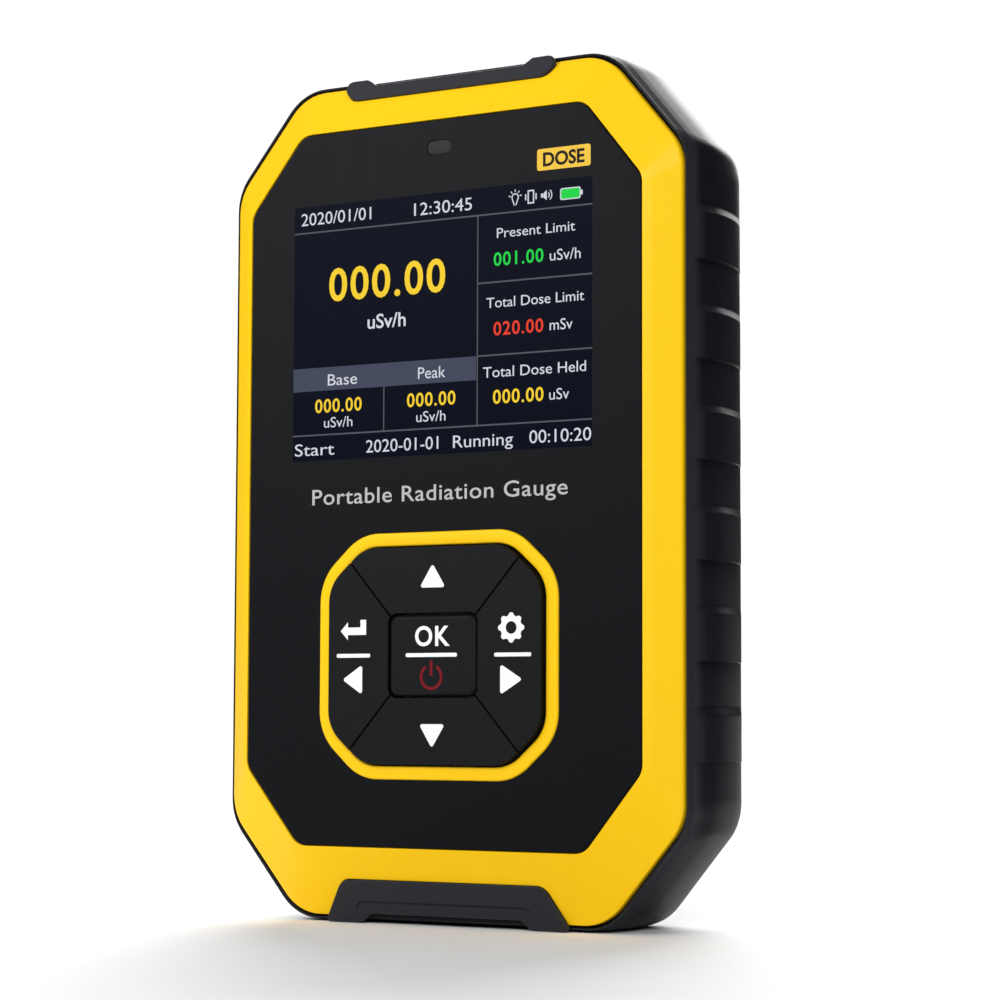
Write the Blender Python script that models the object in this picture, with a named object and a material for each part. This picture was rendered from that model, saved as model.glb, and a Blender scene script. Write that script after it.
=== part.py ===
"""Handheld geiger counter: octagonal two-part case, display, keypad, tube, battery and board.

The lengths below are millimetres. Meshes are built in metres, +Z up, with the front facing -Y and
the origin at the middle of the base that the counter stands on.
"""
import math

import bmesh
import bpy
from mathutils import Matrix, Vector

MM = 0.001
GAP = 0.3                       # clearance between neighbouring pieces
ARC = 4                         # segments in each rounded corner of the case

# Overall size
WIDTH = 78.0
DEPTH = 27.0
HEIGHT = 120.0
MID_Z = HEIGHT / 2
BACK_Y = DEPTH / 2
KEY_FRONT_Y = -DEPTH / 2

# Front panel and the yellow frame round it
PANEL_Z = 61.5                  # middle of the panel
PANEL_Y = KEY_FRONT_Y + 1.2     # the keys stand this far proud of the panel
PANEL_HALF = (32.0, 50.86)
PANEL_CUT = (8.82, 10.97)       # corner cut of the panel opening, across and up
PANEL_THICK = 1.0
PLATE_FRONT_Y = PANEL_Y + PANEL_THICK + GAP
PLATE_BACK_Y = PLATE_FRONT_Y + 1.4
BAND_HALF = (33.15, 52.4)
FRAME_HALF = (36.5, 59.1)
FRAME_CUT = (11.6, 13.9)
FRAME_EDGE_Y = PANEL_Y + 3.1
FRAME_BACK_Y = PANEL_Y + 4.3
LIP_OUT = (34.0, 57.2)
LIP_IN = (32.6, 55.8)
LIP_BACK_Y = FRAME_BACK_Y + 1.3

# Rear case
RIM_Y = PANEL_Y + 3.4
RIM_INSET = [                   # the sides draw in towards the rim, by how far back
    (RIM_Y, 2.0), (-8.4, 1.95), (-7.05, 1.25), (-5.5, 0.8), (-4.0, 0.38), (-3.2, 0.17),
    (-2.3, 0.03), (-1.2, 0.0),
]
CASE_CUT = (12.5, 15.1)
CASE_ROUND = 8.0
REBATE_HALF = (FRAME_HALF[0] + GAP, FRAME_HALF[1] + GAP)
REBATE_Y = FRAME_BACK_Y + GAP
WALL = 2.2
CAVITY_HALF = (35.6, 57.8)
BACK_INSET = (9.3, 6.0)         # how far the back face draws in, across and up
ROUND_START = (-2.3, 6.0)       # where the rounding of the sides, and of the ends, begins
INNER_BACK_Y = BACK_Y - WALL

# Grip pads down each side
PAD_PITCH = 13.53
PAD_LENGTH = 7.5
PAD_COUNT = 6
PAD_FIRST_Z = PANEL_Z + 32.6
GRIP_TOP_Z = PANEL_Z + 42.6
GRIP_BOTTOM_Z = PANEL_Z - 46.5
# Depth of the recess between the pads, by how far back it is
GRIP_DEPTHS = [
    (-12.0, -1.0), (-8.4, -0.3), (-7.9, 0.0), (-7.05, 0.4), (-5.5, 0.7), (-4.0, 0.77),
    (-2.3, 0.7), (1.5, 0.5), (4.5, 0.32), (7.5, 0.1), (10.0, -0.6),
]

# End recesses and trims
NOTCH_HALF = {1: (16.1, 17.8), -1: (16.4, 19.3)}   # at the notch floor and at the frame's edge
NOTCH_FLOOR = 55.35             # from the panel's middle
NOTCH_ROUND = 2.2
END_RECESS_HALF = 13.0
END_RECESS = 1.0
POCKET_Y = FRAME_EDGE_Y + 0.4   # floor of each end notch
TRIM_RELIEF = {1: END_RECESS, -1: END_RECESS + 0.35}
TRIM_BACK_Y = RIM_Y - GAP
TRIM_FRONT_Y = {1: (-10.7, -10.0), -1: (-11.25, -9.95)}   # at the notch floor and at the case's end

# Display
LCD_Z = PANEL_Z + 22.0
LCD_ACTIVE = (24.48, 18.36)     # half size of the 4:3 picture
LCD_GLASS = (27.6, 21.2)

# Openings
TOOL_FRONT_Y = KEY_FRONT_Y - 0.5   # tools start in front of everything
TOOL_REACH = 1.0                # and run this far past what they cut
PILOT_R = 1.3
SHANK_R = 1.0
PIPE_HALF = (2.0, 1.0)
PIPE_Z = PANEL_Z + 46.83
LABEL_MID = (-5.0, MID_Z - 30)
LABEL_HALF = (17.0, 12.0)

# Keypad
KEYPAD_Z = PANEL_Z - 24.25
RING_OUT = (19.35, 17.15)
RING_IN = (17.45, 15.25)
RING_CUT = (6.8, 6.2)
RING_ROUND = 7.5
RING_IN_CUT = (5.7, 5.1)
RING_IN_ROUND = 5.6
RING_PROUD = 0.3
KEY_THICK = 2.9
KEY_TRAVEL = 0.5
OK_HALF = (7.15, 5.75)
DIAGONAL_END = (14.1, 13.6)     # the gaps between keys run from the OK key's corners to here
STEM_R = 1.6
KEY_SPREAD = (12.2, 10.6)       # stem positions of the outer keys
KEY_PLACES = {
    "up": (0.0, KEY_SPREAD[1]),
    "down": (0.0, -KEY_SPREAD[1]),
    "left": (-KEY_SPREAD[0], 0.0),
    "right": (KEY_SPREAD[0], 0.0),
    "ok": (0.0, 0.0),
}

# Board and what it carries
PCB_FRONT_Y = LIP_BACK_Y + 0.4
PCB_BACK_Y = PCB_FRONT_Y + 1.6
PCB_HALF = (33.3, 55.0)
ON_BOARD_Y = PCB_BACK_Y + GAP   # front face of what sits on the board's back
CASE_SCREWS = [(x, MID_Z + z) for z in (49.5, -49.5) for x in (-23.0, 23.0)]
PCB_SCREWS = [(x, MID_Z + z) for z in (38.0, -38.0) for x in (-30.3, 30.3)]
BOSS_R = 3.2
BOSS_BACK_Y = -1.9
PCB_BOSS_R = 2.1
SCREW_SEAT_Y = 3.0
WELL_R = 2.7
TUBE_X = 21.5
TUBE_Y = 3.2
TUBE_R = 5.0
TUBE_Z = (17.5, 101.0)
CELL_MID = (-15.5, 5.6)         # across and in depth
CELL_HALF = (14.5, 4.0)
CELL_Z = (33.0, 85.0)
PORT_HALF = (4.47, 1.63)
PORT_Y = ON_BOARD_Y + PORT_HALF[1]
MOTOR_Z = 100.0
MOTOR_Y = ON_BOARD_Y + 4.1

YELLOW = ((1.0, 0.66, 0.01), 0.38, 0.0)
BLACK_CASE = ((0.012, 0.013, 0.016), 0.42, 0.0)
BLACK_TRIM = ((0.028, 0.031, 0.039), 0.5, 0.0)
BLACK_PANEL = ((0.012, 0.013, 0.016), 0.3, 0.0)
BLACK_KEY = ((0.016, 0.017, 0.019), 0.45, 0.0)
SEAL_GREY = ((0.05, 0.05, 0.055), 0.8, 0.0)
CLEAR_GREY = ((0.09, 0.09, 0.1), 0.2, 0.0)
STEEL = ((0.55, 0.56, 0.58), 0.3, 1.0)
BRASS = ((0.75, 0.55, 0.25), 0.3, 1.0)
BOARD_GREEN = ((0.01, 0.09, 0.04), 0.45, 0.0)
CHIP_BLACK = ((0.02, 0.02, 0.022), 0.5, 0.0)
SCREEN_NAVY = ((0.005, 0.007, 0.02), 0.2, 0.0)
GLASS_TINT = ((0.75, 0.8, 0.82), 0.05, 0.0)
CELL_SILVER = ((0.6, 0.6, 0.62), 0.4, 0.6)
WHITE_NYLON = ((0.8, 0.79, 0.74), 0.5, 0.0)
WIRE_RED = ((0.6, 0.02, 0.02), 0.5, 0.0)
COPPER_TAPE = ((0.7, 0.4, 0.08), 0.45, 0.0)
LABEL_GREY = ((0.35, 0.36, 0.38), 0.5, 0.0)
LED_WHITE = ((0.8, 0.8, 0.7), 0.3, 0.0)


def clear_scene():
    for item in list(bpy.data.objects):
        bpy.data.objects.remove(item, do_unlink=True)


def material(name, look):
    color, roughness, metallic = look
    made = bpy.data.materials.new(name)
    made.use_nodes = True
    shader = made.node_tree.nodes["Principled BSDF"]
    shader.inputs["Base Color"].default_value = (*color, 1.0)
    shader.inputs["Roughness"].default_value = roughness
    shader.inputs["Metallic"].default_value = metallic
    return made


def add_object(name, bm, look, origin=(0.0, 0.0, 0.0), smooth=True):
    """Turn a bmesh in millimetres into an object in metres whose origin is at the given point."""
    bmesh.ops.remove_doubles(bm, verts=bm.verts, dist=0.001)
    bmesh.ops.recalc_face_normals(bm, faces=bm.faces)
    bmesh.ops.transform(bm, matrix=Matrix.Translation(-Vector(origin)), verts=bm.verts)
    bmesh.ops.scale(bm, vec=(MM, MM, MM), verts=bm.verts)
    mesh = bpy.data.meshes.new(name)
    bm.to_mesh(mesh)
    bm.free()
    if smooth:
        mesh.shade_smooth()
        mesh.set_sharp_from_angle(angle=math.radians(35))
    made = bpy.data.objects.new(name, mesh)
    made.location = Vector(origin) * MM
    mesh.materials.append(material(name, look))
    bpy.context.collection.objects.link(made)
    return made


def boolean(target, tools, operation):
    """Apply one exact Boolean for each tool, in order, and remove the tools."""
    for tool in tools:
        step = target.modifiers.new("step", "BOOLEAN")
        step.solver = "EXACT"
        step.operation = operation
        step.object = tool
        graph = bpy.context.evaluated_depsgraph_get()
        result = bpy.data.meshes.new_from_object(target.evaluated_get(graph))
        target.modifiers.clear()
        slots = list(target.data.materials)
        target.data = result
        result.materials.clear()
        result.materials.append(slots[0])
        bpy.data.objects.remove(tool, do_unlink=True)


def rounded(corners, radii, segments):
    """Replace each corner of a closed outline, listed anticlockwise, by an arc."""
    count = len(corners)
    points = []
    for index, radius in enumerate(radii):
        here = Vector(corners[index])
        to_last = (Vector(corners[index - 1]) - here).normalized()
        to_next = (Vector(corners[(index + 1) % count]) - here).normalized()
        half = math.acos(max(-1.0, min(1.0, to_last.dot(to_next)))) / 2
        centre = here + (to_last + to_next).normalized() * radius / math.sin(half)
        start = here + to_last * radius / math.tan(half) - centre
        sweep = math.pi - 2 * half
        for step in range(segments + 1):
            turned = start.copy()
            turned.rotate(Matrix.Rotation(sweep * step / segments, 2))
            points.append(tuple(centre + turned))
    return points


def octagon(half, cut, radius, mid_z, segments=ARC):
    """A rectangle with cut and rounded corners, as points (x, z)."""
    hw, hh = half
    cx, cz = cut
    corners = [
        (hw, hh - cz), (hw - cx, hh), (cx - hw, hh), (-hw, hh - cz),
        (-hw, cz - hh), (cx - hw, -hh), (hw - cx, -hh), (hw, cz - hh),
    ]
    points = rounded(corners, [radius] * 8, segments)
    return [(x, z + mid_z) for x, z in points]


def rectangle(half, mid, radius=0.0, segments=3):
    (hw, hh), (mx, mz) = half, mid
    corners = [(mx + hw, mz + hh), (mx - hw, mz + hh), (mx - hw, mz - hh), (mx + hw, mz - hh)]
    return rounded(corners, [radius] * 4, segments) if radius else corners


def circle(radius, mid, count=16):
    angles = [2 * math.pi * step / count for step in range(count)]
    return [(mid[0] + radius * math.cos(a), mid[1] + radius * math.sin(a)) for a in angles]


def along_y(point, level):
    return (point[0], level, point[1])


def along_z(point, level):
    return (point[0], point[1], level)


def along_x(point, level):
    return (level, point[0], point[1])


def loft(rings, place=along_y, closed=False):
    """Skin a list of (level, outline); capped at both ends, or joined end to end when closed."""
    bm = bmesh.new()
    loops = [[bm.verts.new(place(p, level)) for p in outline] for level, outline in rings]
    count = len(loops[0])
    pairs = list(zip(loops, loops[1:]))
    if closed:
        pairs.append((loops[-1], loops[0]))
    for first, second in pairs:
        for i in range(count):
            j = (i + 1) % count
            bm.faces.new((first[i], first[j], second[j], second[i]))
    if not closed:
        bm.faces.new(loops[0])
        bm.faces.new(reversed(loops[-1]))
    return bm


def prism(name, outline, levels, look, place=along_y, origin=(0.0, 0.0, 0.0)):
    return add_object(name, loft([(level, outline) for level in levels], place), look, origin)


def hollow(name, outer, inner, levels, look, place=along_y):
    """A wall between two outlines of equal point count."""
    low, high = levels
    rings = [(low, outer), (high, outer), (high, inner), (low, inner)]
    return add_object(name, loft(rings, place, closed=True), look)


def box(name, x, y, z, look, origin=(0.0, 0.0, 0.0)):
    outline = [(x[1], z[1]), (x[0], z[1]), (x[0], z[0]), (x[1], z[0])]
    return prism(name, outline, y, look, origin=origin)


def cutter(outline, levels, place=along_y):
    return prism("cutter", outline, levels, BLACK_CASE, place)


def draw_in(y, axis):
    """How far the outside of the rear case has curved in at depth y; axis 0 is across, 1 is up."""
    start = ROUND_START[axis]
    if y <= start:
        return 0.0
    reach = min(1.0, (y - start) / (BACK_Y - start))
    return BACK_INSET[axis] * (1 - math.sqrt(1 - reach * reach))


def value_at(y, table):
    """Read a list of (depth, value) between its entries."""
    for (y0, v0), (y1, v1) in zip(table, table[1:]):
        if y <= y1:
            return v0 + (v1 - v0) * max(0.0, y - y0) / (y1 - y0)
    return table[-1][1]


def case_ring(y, inset=0.0):
    """One level of the rear case's outside, or of a wall's inside when inset."""
    rim = value_at(y, RIM_INSET)
    full = WIDTH / 2 - draw_in(y, 0) - inset
    half = (full - rim, MID_Z - draw_in(y, 1) - inset - max(0.0, rim - 0.8) / 4)
    shrink = full / (WIDTH / 2)
    cut = [c * shrink * (1 - 0.04 * rim) for c in CASE_CUT]
    return octagon(half, cut, (CASE_ROUND - inset / 2) * shrink, MID_Z)


def frame_ring(half, mid_z=MID_Z):
    """An octagon between the panel opening and the frame's outer edge, by its half width."""
    share = (half[0] - PANEL_HALF[0]) / (FRAME_HALF[0] - PANEL_HALF[0])
    cut = [a + (b - a) * share for a, b in zip(PANEL_CUT, FRAME_CUT)]
    return octagon(half, cut, 3.0 + 4.5 * max(0.0, share), mid_z)


def front_case():
    band_mid = PANEL_Z - 0.3
    rings = [
        (PLATE_FRONT_Y, frame_ring(PANEL_HALF, PANEL_Z)),
        (PANEL_Y - 0.05, frame_ring(PANEL_HALF, PANEL_Z)),
        (PANEL_Y + 0.6, frame_ring(BAND_HALF, band_mid)),
        (FRAME_EDGE_Y, frame_ring(FRAME_HALF)),
        (FRAME_BACK_Y, frame_ring(FRAME_HALF)),
        (FRAME_BACK_Y, frame_ring(LIP_OUT)),
        (LIP_BACK_Y, frame_ring(LIP_OUT)),
        (LIP_BACK_Y, frame_ring(LIP_IN)),
        (PLATE_BACK_Y, frame_ring(LIP_IN)),
    ]
    case = add_object("front_case", loft(rings), YELLOW)
    ring = octagon(RING_OUT, RING_CUT, RING_ROUND, KEYPAD_Z)
    posts = [cutter(ring, (PANEL_Y - RING_PROUD, PLATE_BACK_Y - 0.5))]
    for place in CASE_SCREWS:
        posts.append(cutter(circle(BOSS_R, place), (PLATE_BACK_Y - 0.6, BOSS_BACK_Y)))
    for place in PCB_SCREWS:
        posts.append(cutter(circle(PCB_BOSS_R, place, 12), (PLATE_BACK_Y - 0.6, PCB_FRONT_Y - GAP)))
    boolean(case, posts, "UNION")
    through = (TOOL_FRONT_Y, PLATE_BACK_Y + TOOL_REACH)
    window = (LCD_ACTIVE[0] + 0.72, LCD_ACTIVE[1] + 0.74)
    holes = [
        cutter(octagon(RING_IN, RING_IN_CUT, RING_IN_ROUND, KEYPAD_Z), through),
        cutter(rectangle(window, (0.0, LCD_Z)), through),
        cutter(light_pipe_outline(GAP), through),
        notch_cutter(1),
        notch_cutter(-1),
    ]
    for place in CASE_SCREWS:
        holes.append(cutter(circle(PILOT_R, place, 12), (PLATE_BACK_Y, BOSS_BACK_Y + TOOL_REACH)))
    for place in PCB_SCREWS:
        holes.append(cutter(circle(PILOT_R, place, 12), (PLATE_BACK_Y, PCB_FRONT_Y)))
    boolean(case, holes, "DIFFERENCE")


def light_pipe_outline(grow=0.0):
    half = (PIPE_HALF[0] + grow, PIPE_HALF[1] + grow)
    return rectangle(half, (0.0, PIPE_Z), half[1] - 0.05)


def notch_outline(side, shrink, outer):
    """The trapezoid of an end notch; side is 1 at the top and -1 at the bottom."""
    floor = PANEL_Z + side * (NOTCH_FLOOR + shrink)
    far = MID_Z + side * outer
    edge = MID_Z + side * FRAME_HALF[1]
    near, outer_half = NOTCH_HALF[side]
    slope = (outer_half - near) / abs(edge - floor)
    wide = near + slope * abs(far - floor) - shrink
    near -= shrink
    corners = [(wide, far), (-wide, far), (-near, floor), (near, floor)]
    radii = [0.0001, 0.0001, NOTCH_ROUND, NOTCH_ROUND]
    if side < 0:
        corners.reverse()
        radii.reverse()
    return rounded(corners, radii, 3)


def notch_cutter(side):
    return cutter(notch_outline(side, 0.0, MID_Z + 2), (TOOL_FRONT_Y, POCKET_Y))


def end_trim(name, side):
    """A soft insert that fills an end notch and stands a little proud of the frame's slope."""
    trim = prism(name, notch_outline(side, GAP, MID_Z - 0.02), (TOOL_FRONT_Y, TRIM_BACK_Y), BLACK_TRIM)
    floor = PANEL_Z + side * NOTCH_FLOOR
    end = MID_Z + side * MID_Z
    near, far = TRIM_FRONT_Y[side]
    overrun = (far - near) / abs(end - floor)
    ahead = TOOL_FRONT_Y - TOOL_REACH
    slope = [
        (ahead, floor - side), (near - overrun, floor - side),
        (far + overrun, end + side), (ahead, end + side),
    ]
    if side < 0:
        slope.reverse()
    wide, narrow = END_RECESS_HALF + 0.8, END_RECESS_HALF - 0.5
    edge = MID_Z + side * (MID_Z + 1)
    shelf = MID_Z + side * (MID_Z - TRIM_RELIEF[side])
    relief = [(wide, edge), (-wide, edge), (-narrow, shelf), (narrow, shelf)]
    if side < 0:
        relief.reverse()
    tools = [cutter(slope, (-WIDTH / 2, WIDTH / 2), along_x), cutter(relief, (ahead, 0.0))]
    boolean(trim, tools, "DIFFERENCE")


def rear_case():
    depths = [y for y, _ in RIM_INSET] + [1.5, 4.5, 7.0, 9.3, 11.2, 12.5, 13.2, BACK_Y]
    rings = [(INNER_BACK_Y, case_ring(INNER_BACK_Y, WALL + 1.3))]
    for y in (9.5, 6.5, 3.0, -1.5):
        rings.append((y, case_ring(y, WALL + (0.7 if y > 5 else 0.2))))
    rings.append((REBATE_Y + 1.5, frame_ring(CAVITY_HALF)))
    rings.append((REBATE_Y, frame_ring(CAVITY_HALF)))
    rings.append((REBATE_Y, frame_ring(REBATE_HALF)))
    rings.append((RIM_Y, frame_ring(REBATE_HALF)))
    rings.extend((y, case_ring(y)) for y in depths)
    case = add_object("rear_case", loft(rings), BLACK_CASE)
    reach = (BOSS_BACK_Y + GAP, INNER_BACK_Y + 0.8)
    boolean(case, [cutter(circle(WELL_R + 0.9, place), reach) for place in CASE_SCREWS], "UNION")
    boolean(case, grip_cutters() + case_openings(), "DIFFERENCE")


def grip_cutters():
    """Prisms with sloped ends that sink the wall between the pads, deepest at the front."""
    edges = [GRIP_TOP_Z]
    for index in range(PAD_COUNT):
        mid = PAD_FIRST_Z - index * PAD_PITCH
        edges += [mid + PAD_LENGTH / 2, mid - PAD_LENGTH / 2]
    edges.append(GRIP_BOTTOM_Z)
    tools = []
    for sign in (-1, 1):
        for high, low in zip(edges[0::2], edges[1::2]):
            tools.append(grip_cutter(sign, high, low))
    return tools


def grip_cutter(sign, high, low):
    reach = 2.0                 # how far the tool stands outside the wall
    rings = []
    for y, depth in GRIP_DEPTHS:
        wall = WIDTH / 2 - draw_in(y, 0) - value_at(y, RIM_INSET) - depth
        far = wall + reach
        outline = [(far, high + reach), (wall, high), (wall, low), (far, low - reach)]
        rings.append((y, [(sign * x, z) for x, z in outline]))
    return add_object("cutter", loft(rings), BLACK_CASE)


def case_openings():
    tools = []
    for x, z in CASE_SCREWS:
        tools.append(cutter(circle(WELL_R, (x, z)), (SCREW_SEAT_Y, BACK_Y + TOOL_REACH)))
        tools.append(cutter(circle(PILOT_R, (x, z), 12), (BOSS_BACK_Y - 1, SCREW_SEAT_Y + 1)))
    for side in (-1, 1):
        far = MID_Z + side * (MID_Z + 1)
        floor = MID_Z + side * (MID_Z - END_RECESS)
        wide = END_RECESS_HALF + 2 * END_RECESS
        outline = [(wide, far), (-wide, far), (-END_RECESS_HALF, floor), (END_RECESS_HALF, floor)]
        if side < 0:
            outline.reverse()
        tools.append(cutter(outline, (TOOL_FRONT_Y, 9.0)))
    port = rectangle((PORT_HALF[0] + 0.4, PORT_HALF[1] + 0.4), (0.0, PORT_Y), 1.2)
    tools.append(cutter(port, (-2.0, 4.0), along_z))
    for step in range(7):
        slot = rectangle((6.0, 0.7), (TUBE_X - 2.5, MID_Z - 12 + 4.0 * step))
        tools.append(cutter(slot, (INNER_BACK_Y - 3, BACK_Y + TOOL_REACH)))
    seat = rectangle((LABEL_HALF[0] + GAP, LABEL_HALF[1] + GAP), LABEL_MID, 1.3)
    tools.append(cutter(seat, (BACK_Y - 0.7, BACK_Y + TOOL_REACH)))
    return tools


def case_parts():
    front_case()
    rear_case()
    end_trim("top_trim", 1)
    end_trim("bottom_trim", -1)
    seal_in = frame_ring((LIP_OUT[0] + GAP, LIP_OUT[1] + GAP / 2))
    seal_out = frame_ring((CAVITY_HALF[0] - GAP, CAVITY_HALF[1] - 0.1))
    hollow("case_seal", seal_out, seal_in, (REBATE_Y + 0.1, REBATE_Y + 1.3), SEAL_GREY)
    prism("rear_label", rectangle(LABEL_HALF, LABEL_MID, 1.0), (BACK_Y - 0.4, BACK_Y), LABEL_GREY)
    for index, (x, z) in enumerate(CASE_SCREWS, start=1):
        screw(f"case_screw_{index}", (x, z), (-6.0, SCREW_SEAT_Y + GAP, SCREW_SEAT_Y + GAP + 1.8), 2.3)


def screw(name, place, levels, head_r):
    """A plain shank and head; the levels are the tip, the seat and the top of the head."""
    tip, seat, top = levels
    shank, head = circle(SHANK_R, place, 12), circle(head_r, place, 12)
    add_object(name, loft([(tip, shank), (seat, shank), (seat, head), (top, head)]), STEEL)


def front_panel():
    half = (PANEL_HALF[0] - GAP, PANEL_HALF[1] - GAP)
    outline = octagon(half, PANEL_CUT, 2.8, PANEL_Z)
    panel = prism("front_panel", outline, (PANEL_Y, PANEL_Y + PANEL_THICK), BLACK_PANEL)
    grown = (RING_OUT[0] + GAP, RING_OUT[1] + GAP)
    holes = [
        cutter(octagon(grown, RING_CUT, RING_ROUND, KEYPAD_Z), (TOOL_FRONT_Y, PLATE_BACK_Y)),
        cutter(light_pipe_outline(GAP), (TOOL_FRONT_Y, PLATE_BACK_Y)),
    ]
    boolean(panel, holes, "DIFFERENCE")
    prism("alarm_light_pipe", light_pipe_outline(), (PANEL_Y, PLATE_BACK_Y + 1.6), CLEAR_GREY)
    lamp = (PCB_FRONT_Y - 1.0, PCB_FRONT_Y - GAP)
    box("alarm_led", (-1.6, 1.6), lamp, (PIPE_Z - 0.9, PIPE_Z + 0.9), LED_WHITE)


def clipped(outline, point, normal):
    """The part of a convex outline on the side of a line that its normal points to."""
    kept = []
    for here, after in zip(outline, outline[1:] + outline[:1]):
        a = (here[0] - point[0]) * normal[0] + (here[1] - point[1]) * normal[1]
        b = (after[0] - point[0]) * normal[0] + (after[1] - point[1]) * normal[1]
        if a >= 0:
            kept.append(here)
        if (a > 0 > b) or (a < 0 < b):
            share = a / (a - b)
            kept.append(tuple(p + (q - p) * share for p, q in zip(here, after)))
    return kept


def outer_key_outline(direction):
    """One of the four keys round the OK key: the ring's inside between two diagonals."""
    grown = (RING_IN[0] - GAP, RING_IN[1] - GAP)
    outline = octagon(grown, RING_IN_CUT, RING_IN_ROUND - GAP, 0.0, 3)
    across = Vector(direction)
    side = Vector((-across.y, across.x))
    reach = OK_HALF[0] if across.x else OK_HALF[1]
    outline = clipped(outline, across * (reach + 0.2), across)
    for sign in (-1, 1):
        way = across + side * sign
        start = Vector((OK_HALF[0] * way.x, OK_HALF[1] * way.y))
        end = Vector((DIAGONAL_END[0] * way.x, DIAGONAL_END[1] * way.y))
        line = (end - start).normalized()
        normal = Vector((-line.y, line.x))
        if normal.dot(across) < 0:
            normal = -normal
        outline = clipped(outline, start + normal * GAP / 2, normal)
    return [(x, z + KEYPAD_Z) for x, z in outline]


def keytop(name, outline):
    """A keytop with a bevelled face, and a stem that reaches through the membrane."""
    place = KEY_PLACES[name]
    stem = (place[0], KEYPAD_Z + place[1])
    origin = (stem[0], KEY_FRONT_Y, stem[1])
    back = KEY_FRONT_Y + KEY_THICK
    stem_back = back + 1.3
    bm = loft([(KEY_FRONT_Y, outline), (back, outline)])
    bmesh.ops.recalc_face_normals(bm, faces=bm.faces)
    rim = [e for e in bm.edges if all(abs(v.co.y - KEY_FRONT_Y) < 0.01 for v in e.verts)]
    bmesh.ops.bevel(bm, geom=rim, offset=0.7, segments=2, profile=0.5, affect="EDGES")
    key = add_object(f"key_{name}", bm, BLACK_KEY, origin)
    boolean(key, [cutter(circle(STEM_R, stem, 12), (back - 0.5, stem_back))], "UNION")
    plunger = (stem_back + GAP, stem_back + GAP + 0.5)
    prism(f"switch_plunger_{name}", circle(1.5, stem, 12), plunger, BLACK_KEY, origin=origin)
    base = (plunger[1] + KEY_TRAVEL + 0.1, PCB_FRONT_Y - GAP)
    x, z = stem
    box(f"switch_base_{name}", (x - 2.6, x + 2.6), base, (z - 2.6, z + 2.6), STEEL)


def keypad():
    for name, direction in (("up", (0, 1)), ("down", (0, -1)), ("left", (-1, 0)), ("right", (1, 0))):
        keytop(name, outer_key_outline(direction))
    half = (OK_HALF[0] - 0.2, OK_HALF[1] - 0.2)
    keytop("ok", rectangle(half, (0.0, KEYPAD_Z), 1.2))
    levels = (PLATE_BACK_Y + GAP, PLATE_BACK_Y + GAP + 0.8)
    mat = prism("keypad_membrane", rectangle((20.5, 18.0), (0.0, KEYPAD_Z), 2.0), levels, SEAL_GREY)
    holes = [
        cutter(circle(STEM_R + 0.5, (x, KEYPAD_Z + z), 12), (PLATE_BACK_Y, LIP_BACK_Y))
        for x, z in KEY_PLACES.values()
    ]
    boolean(mat, holes, "DIFFERENCE")


def display():
    front = PLATE_BACK_Y + GAP
    x = (-LCD_GLASS[0], LCD_GLASS[0])
    z = (LCD_Z - LCD_GLASS[1], LCD_Z + LCD_GLASS[1])
    box("lcd_panel", x, (front, front + 0.6), z, SCREEN_NAVY)
    box("lcd_backlight", x, (front + 0.9, front + 2.1), z, STEEL)
    level = front + 0.3
    ribbon = [
        (level - 0.15, z[0] - GAP), (level - 0.15, z[0] - 3.0), (level + 1.6, z[0] - 4.6),
        (level + 1.6, z[0] - 8.0), (level + 1.3, z[0] - 8.0), (level + 1.3, z[0] - 4.75),
        (level - 0.45, z[0] - 3.2), (level - 0.45, z[0] - GAP),
    ]
    prism("lcd_flex", ribbon, (-6.0, 6.0), COPPER_TAPE, along_x)


def main_board():
    outline = octagon(PCB_HALF, (11.0, 13.0), 2.0, MID_Z, 2)
    pcb = prism("main_pcb", outline, (PCB_FRONT_Y, PCB_BACK_Y), BOARD_GREEN)
    through = (PCB_FRONT_Y - TOOL_REACH, PCB_BACK_Y + TOOL_REACH)
    holes = [cutter(circle(BOSS_R + GAP, place), through) for place in CASE_SCREWS]
    holes += [cutter(circle(SHANK_R + 0.35, place, 12), through) for place in PCB_SCREWS]
    boolean(pcb, holes, "DIFFERENCE")
    for index, (x, z) in enumerate(PCB_SCREWS, start=1):
        screw(f"pcb_screw_{index}", (x, z), (PLATE_BACK_Y + 0.5, ON_BOARD_Y, ON_BOARD_Y + 1.3), 1.9)
    chips = {
        "mcu_chip": ((-10.0, -2.0), 1.0, (20.0, 28.0), CHIP_BLACK),
        "hv_transformer": ((2.0, 11.0), 6.0, (84.0, 93.0), COPPER_TAPE),
        "battery_connector": ((-8.0, 0.0), 4.5, (93.0, 97.0), WHITE_NYLON),
    }
    for name, (x, tall, z, look) in chips.items():
        box(name, x, (ON_BOARD_Y, ON_BOARD_Y + tall), z, look)
    prism("hv_capacitor", circle(2.5, (7.0, 77.0), 16), (ON_BOARD_Y, ON_BOARD_Y + 7.0), CHIP_BLACK)
    buzzer = (-19.0, 98.0)
    rings = [
        (ON_BOARD_Y, circle(6.0, buzzer)), (ON_BOARD_Y + 5.0, circle(6.0, buzzer)),
        (ON_BOARD_Y + 5.0, circle(1.2, buzzer)), (ON_BOARD_Y + 3.0, circle(1.2, buzzer)),
    ]
    add_object("buzzer", loft(rings), CHIP_BLACK)


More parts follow.
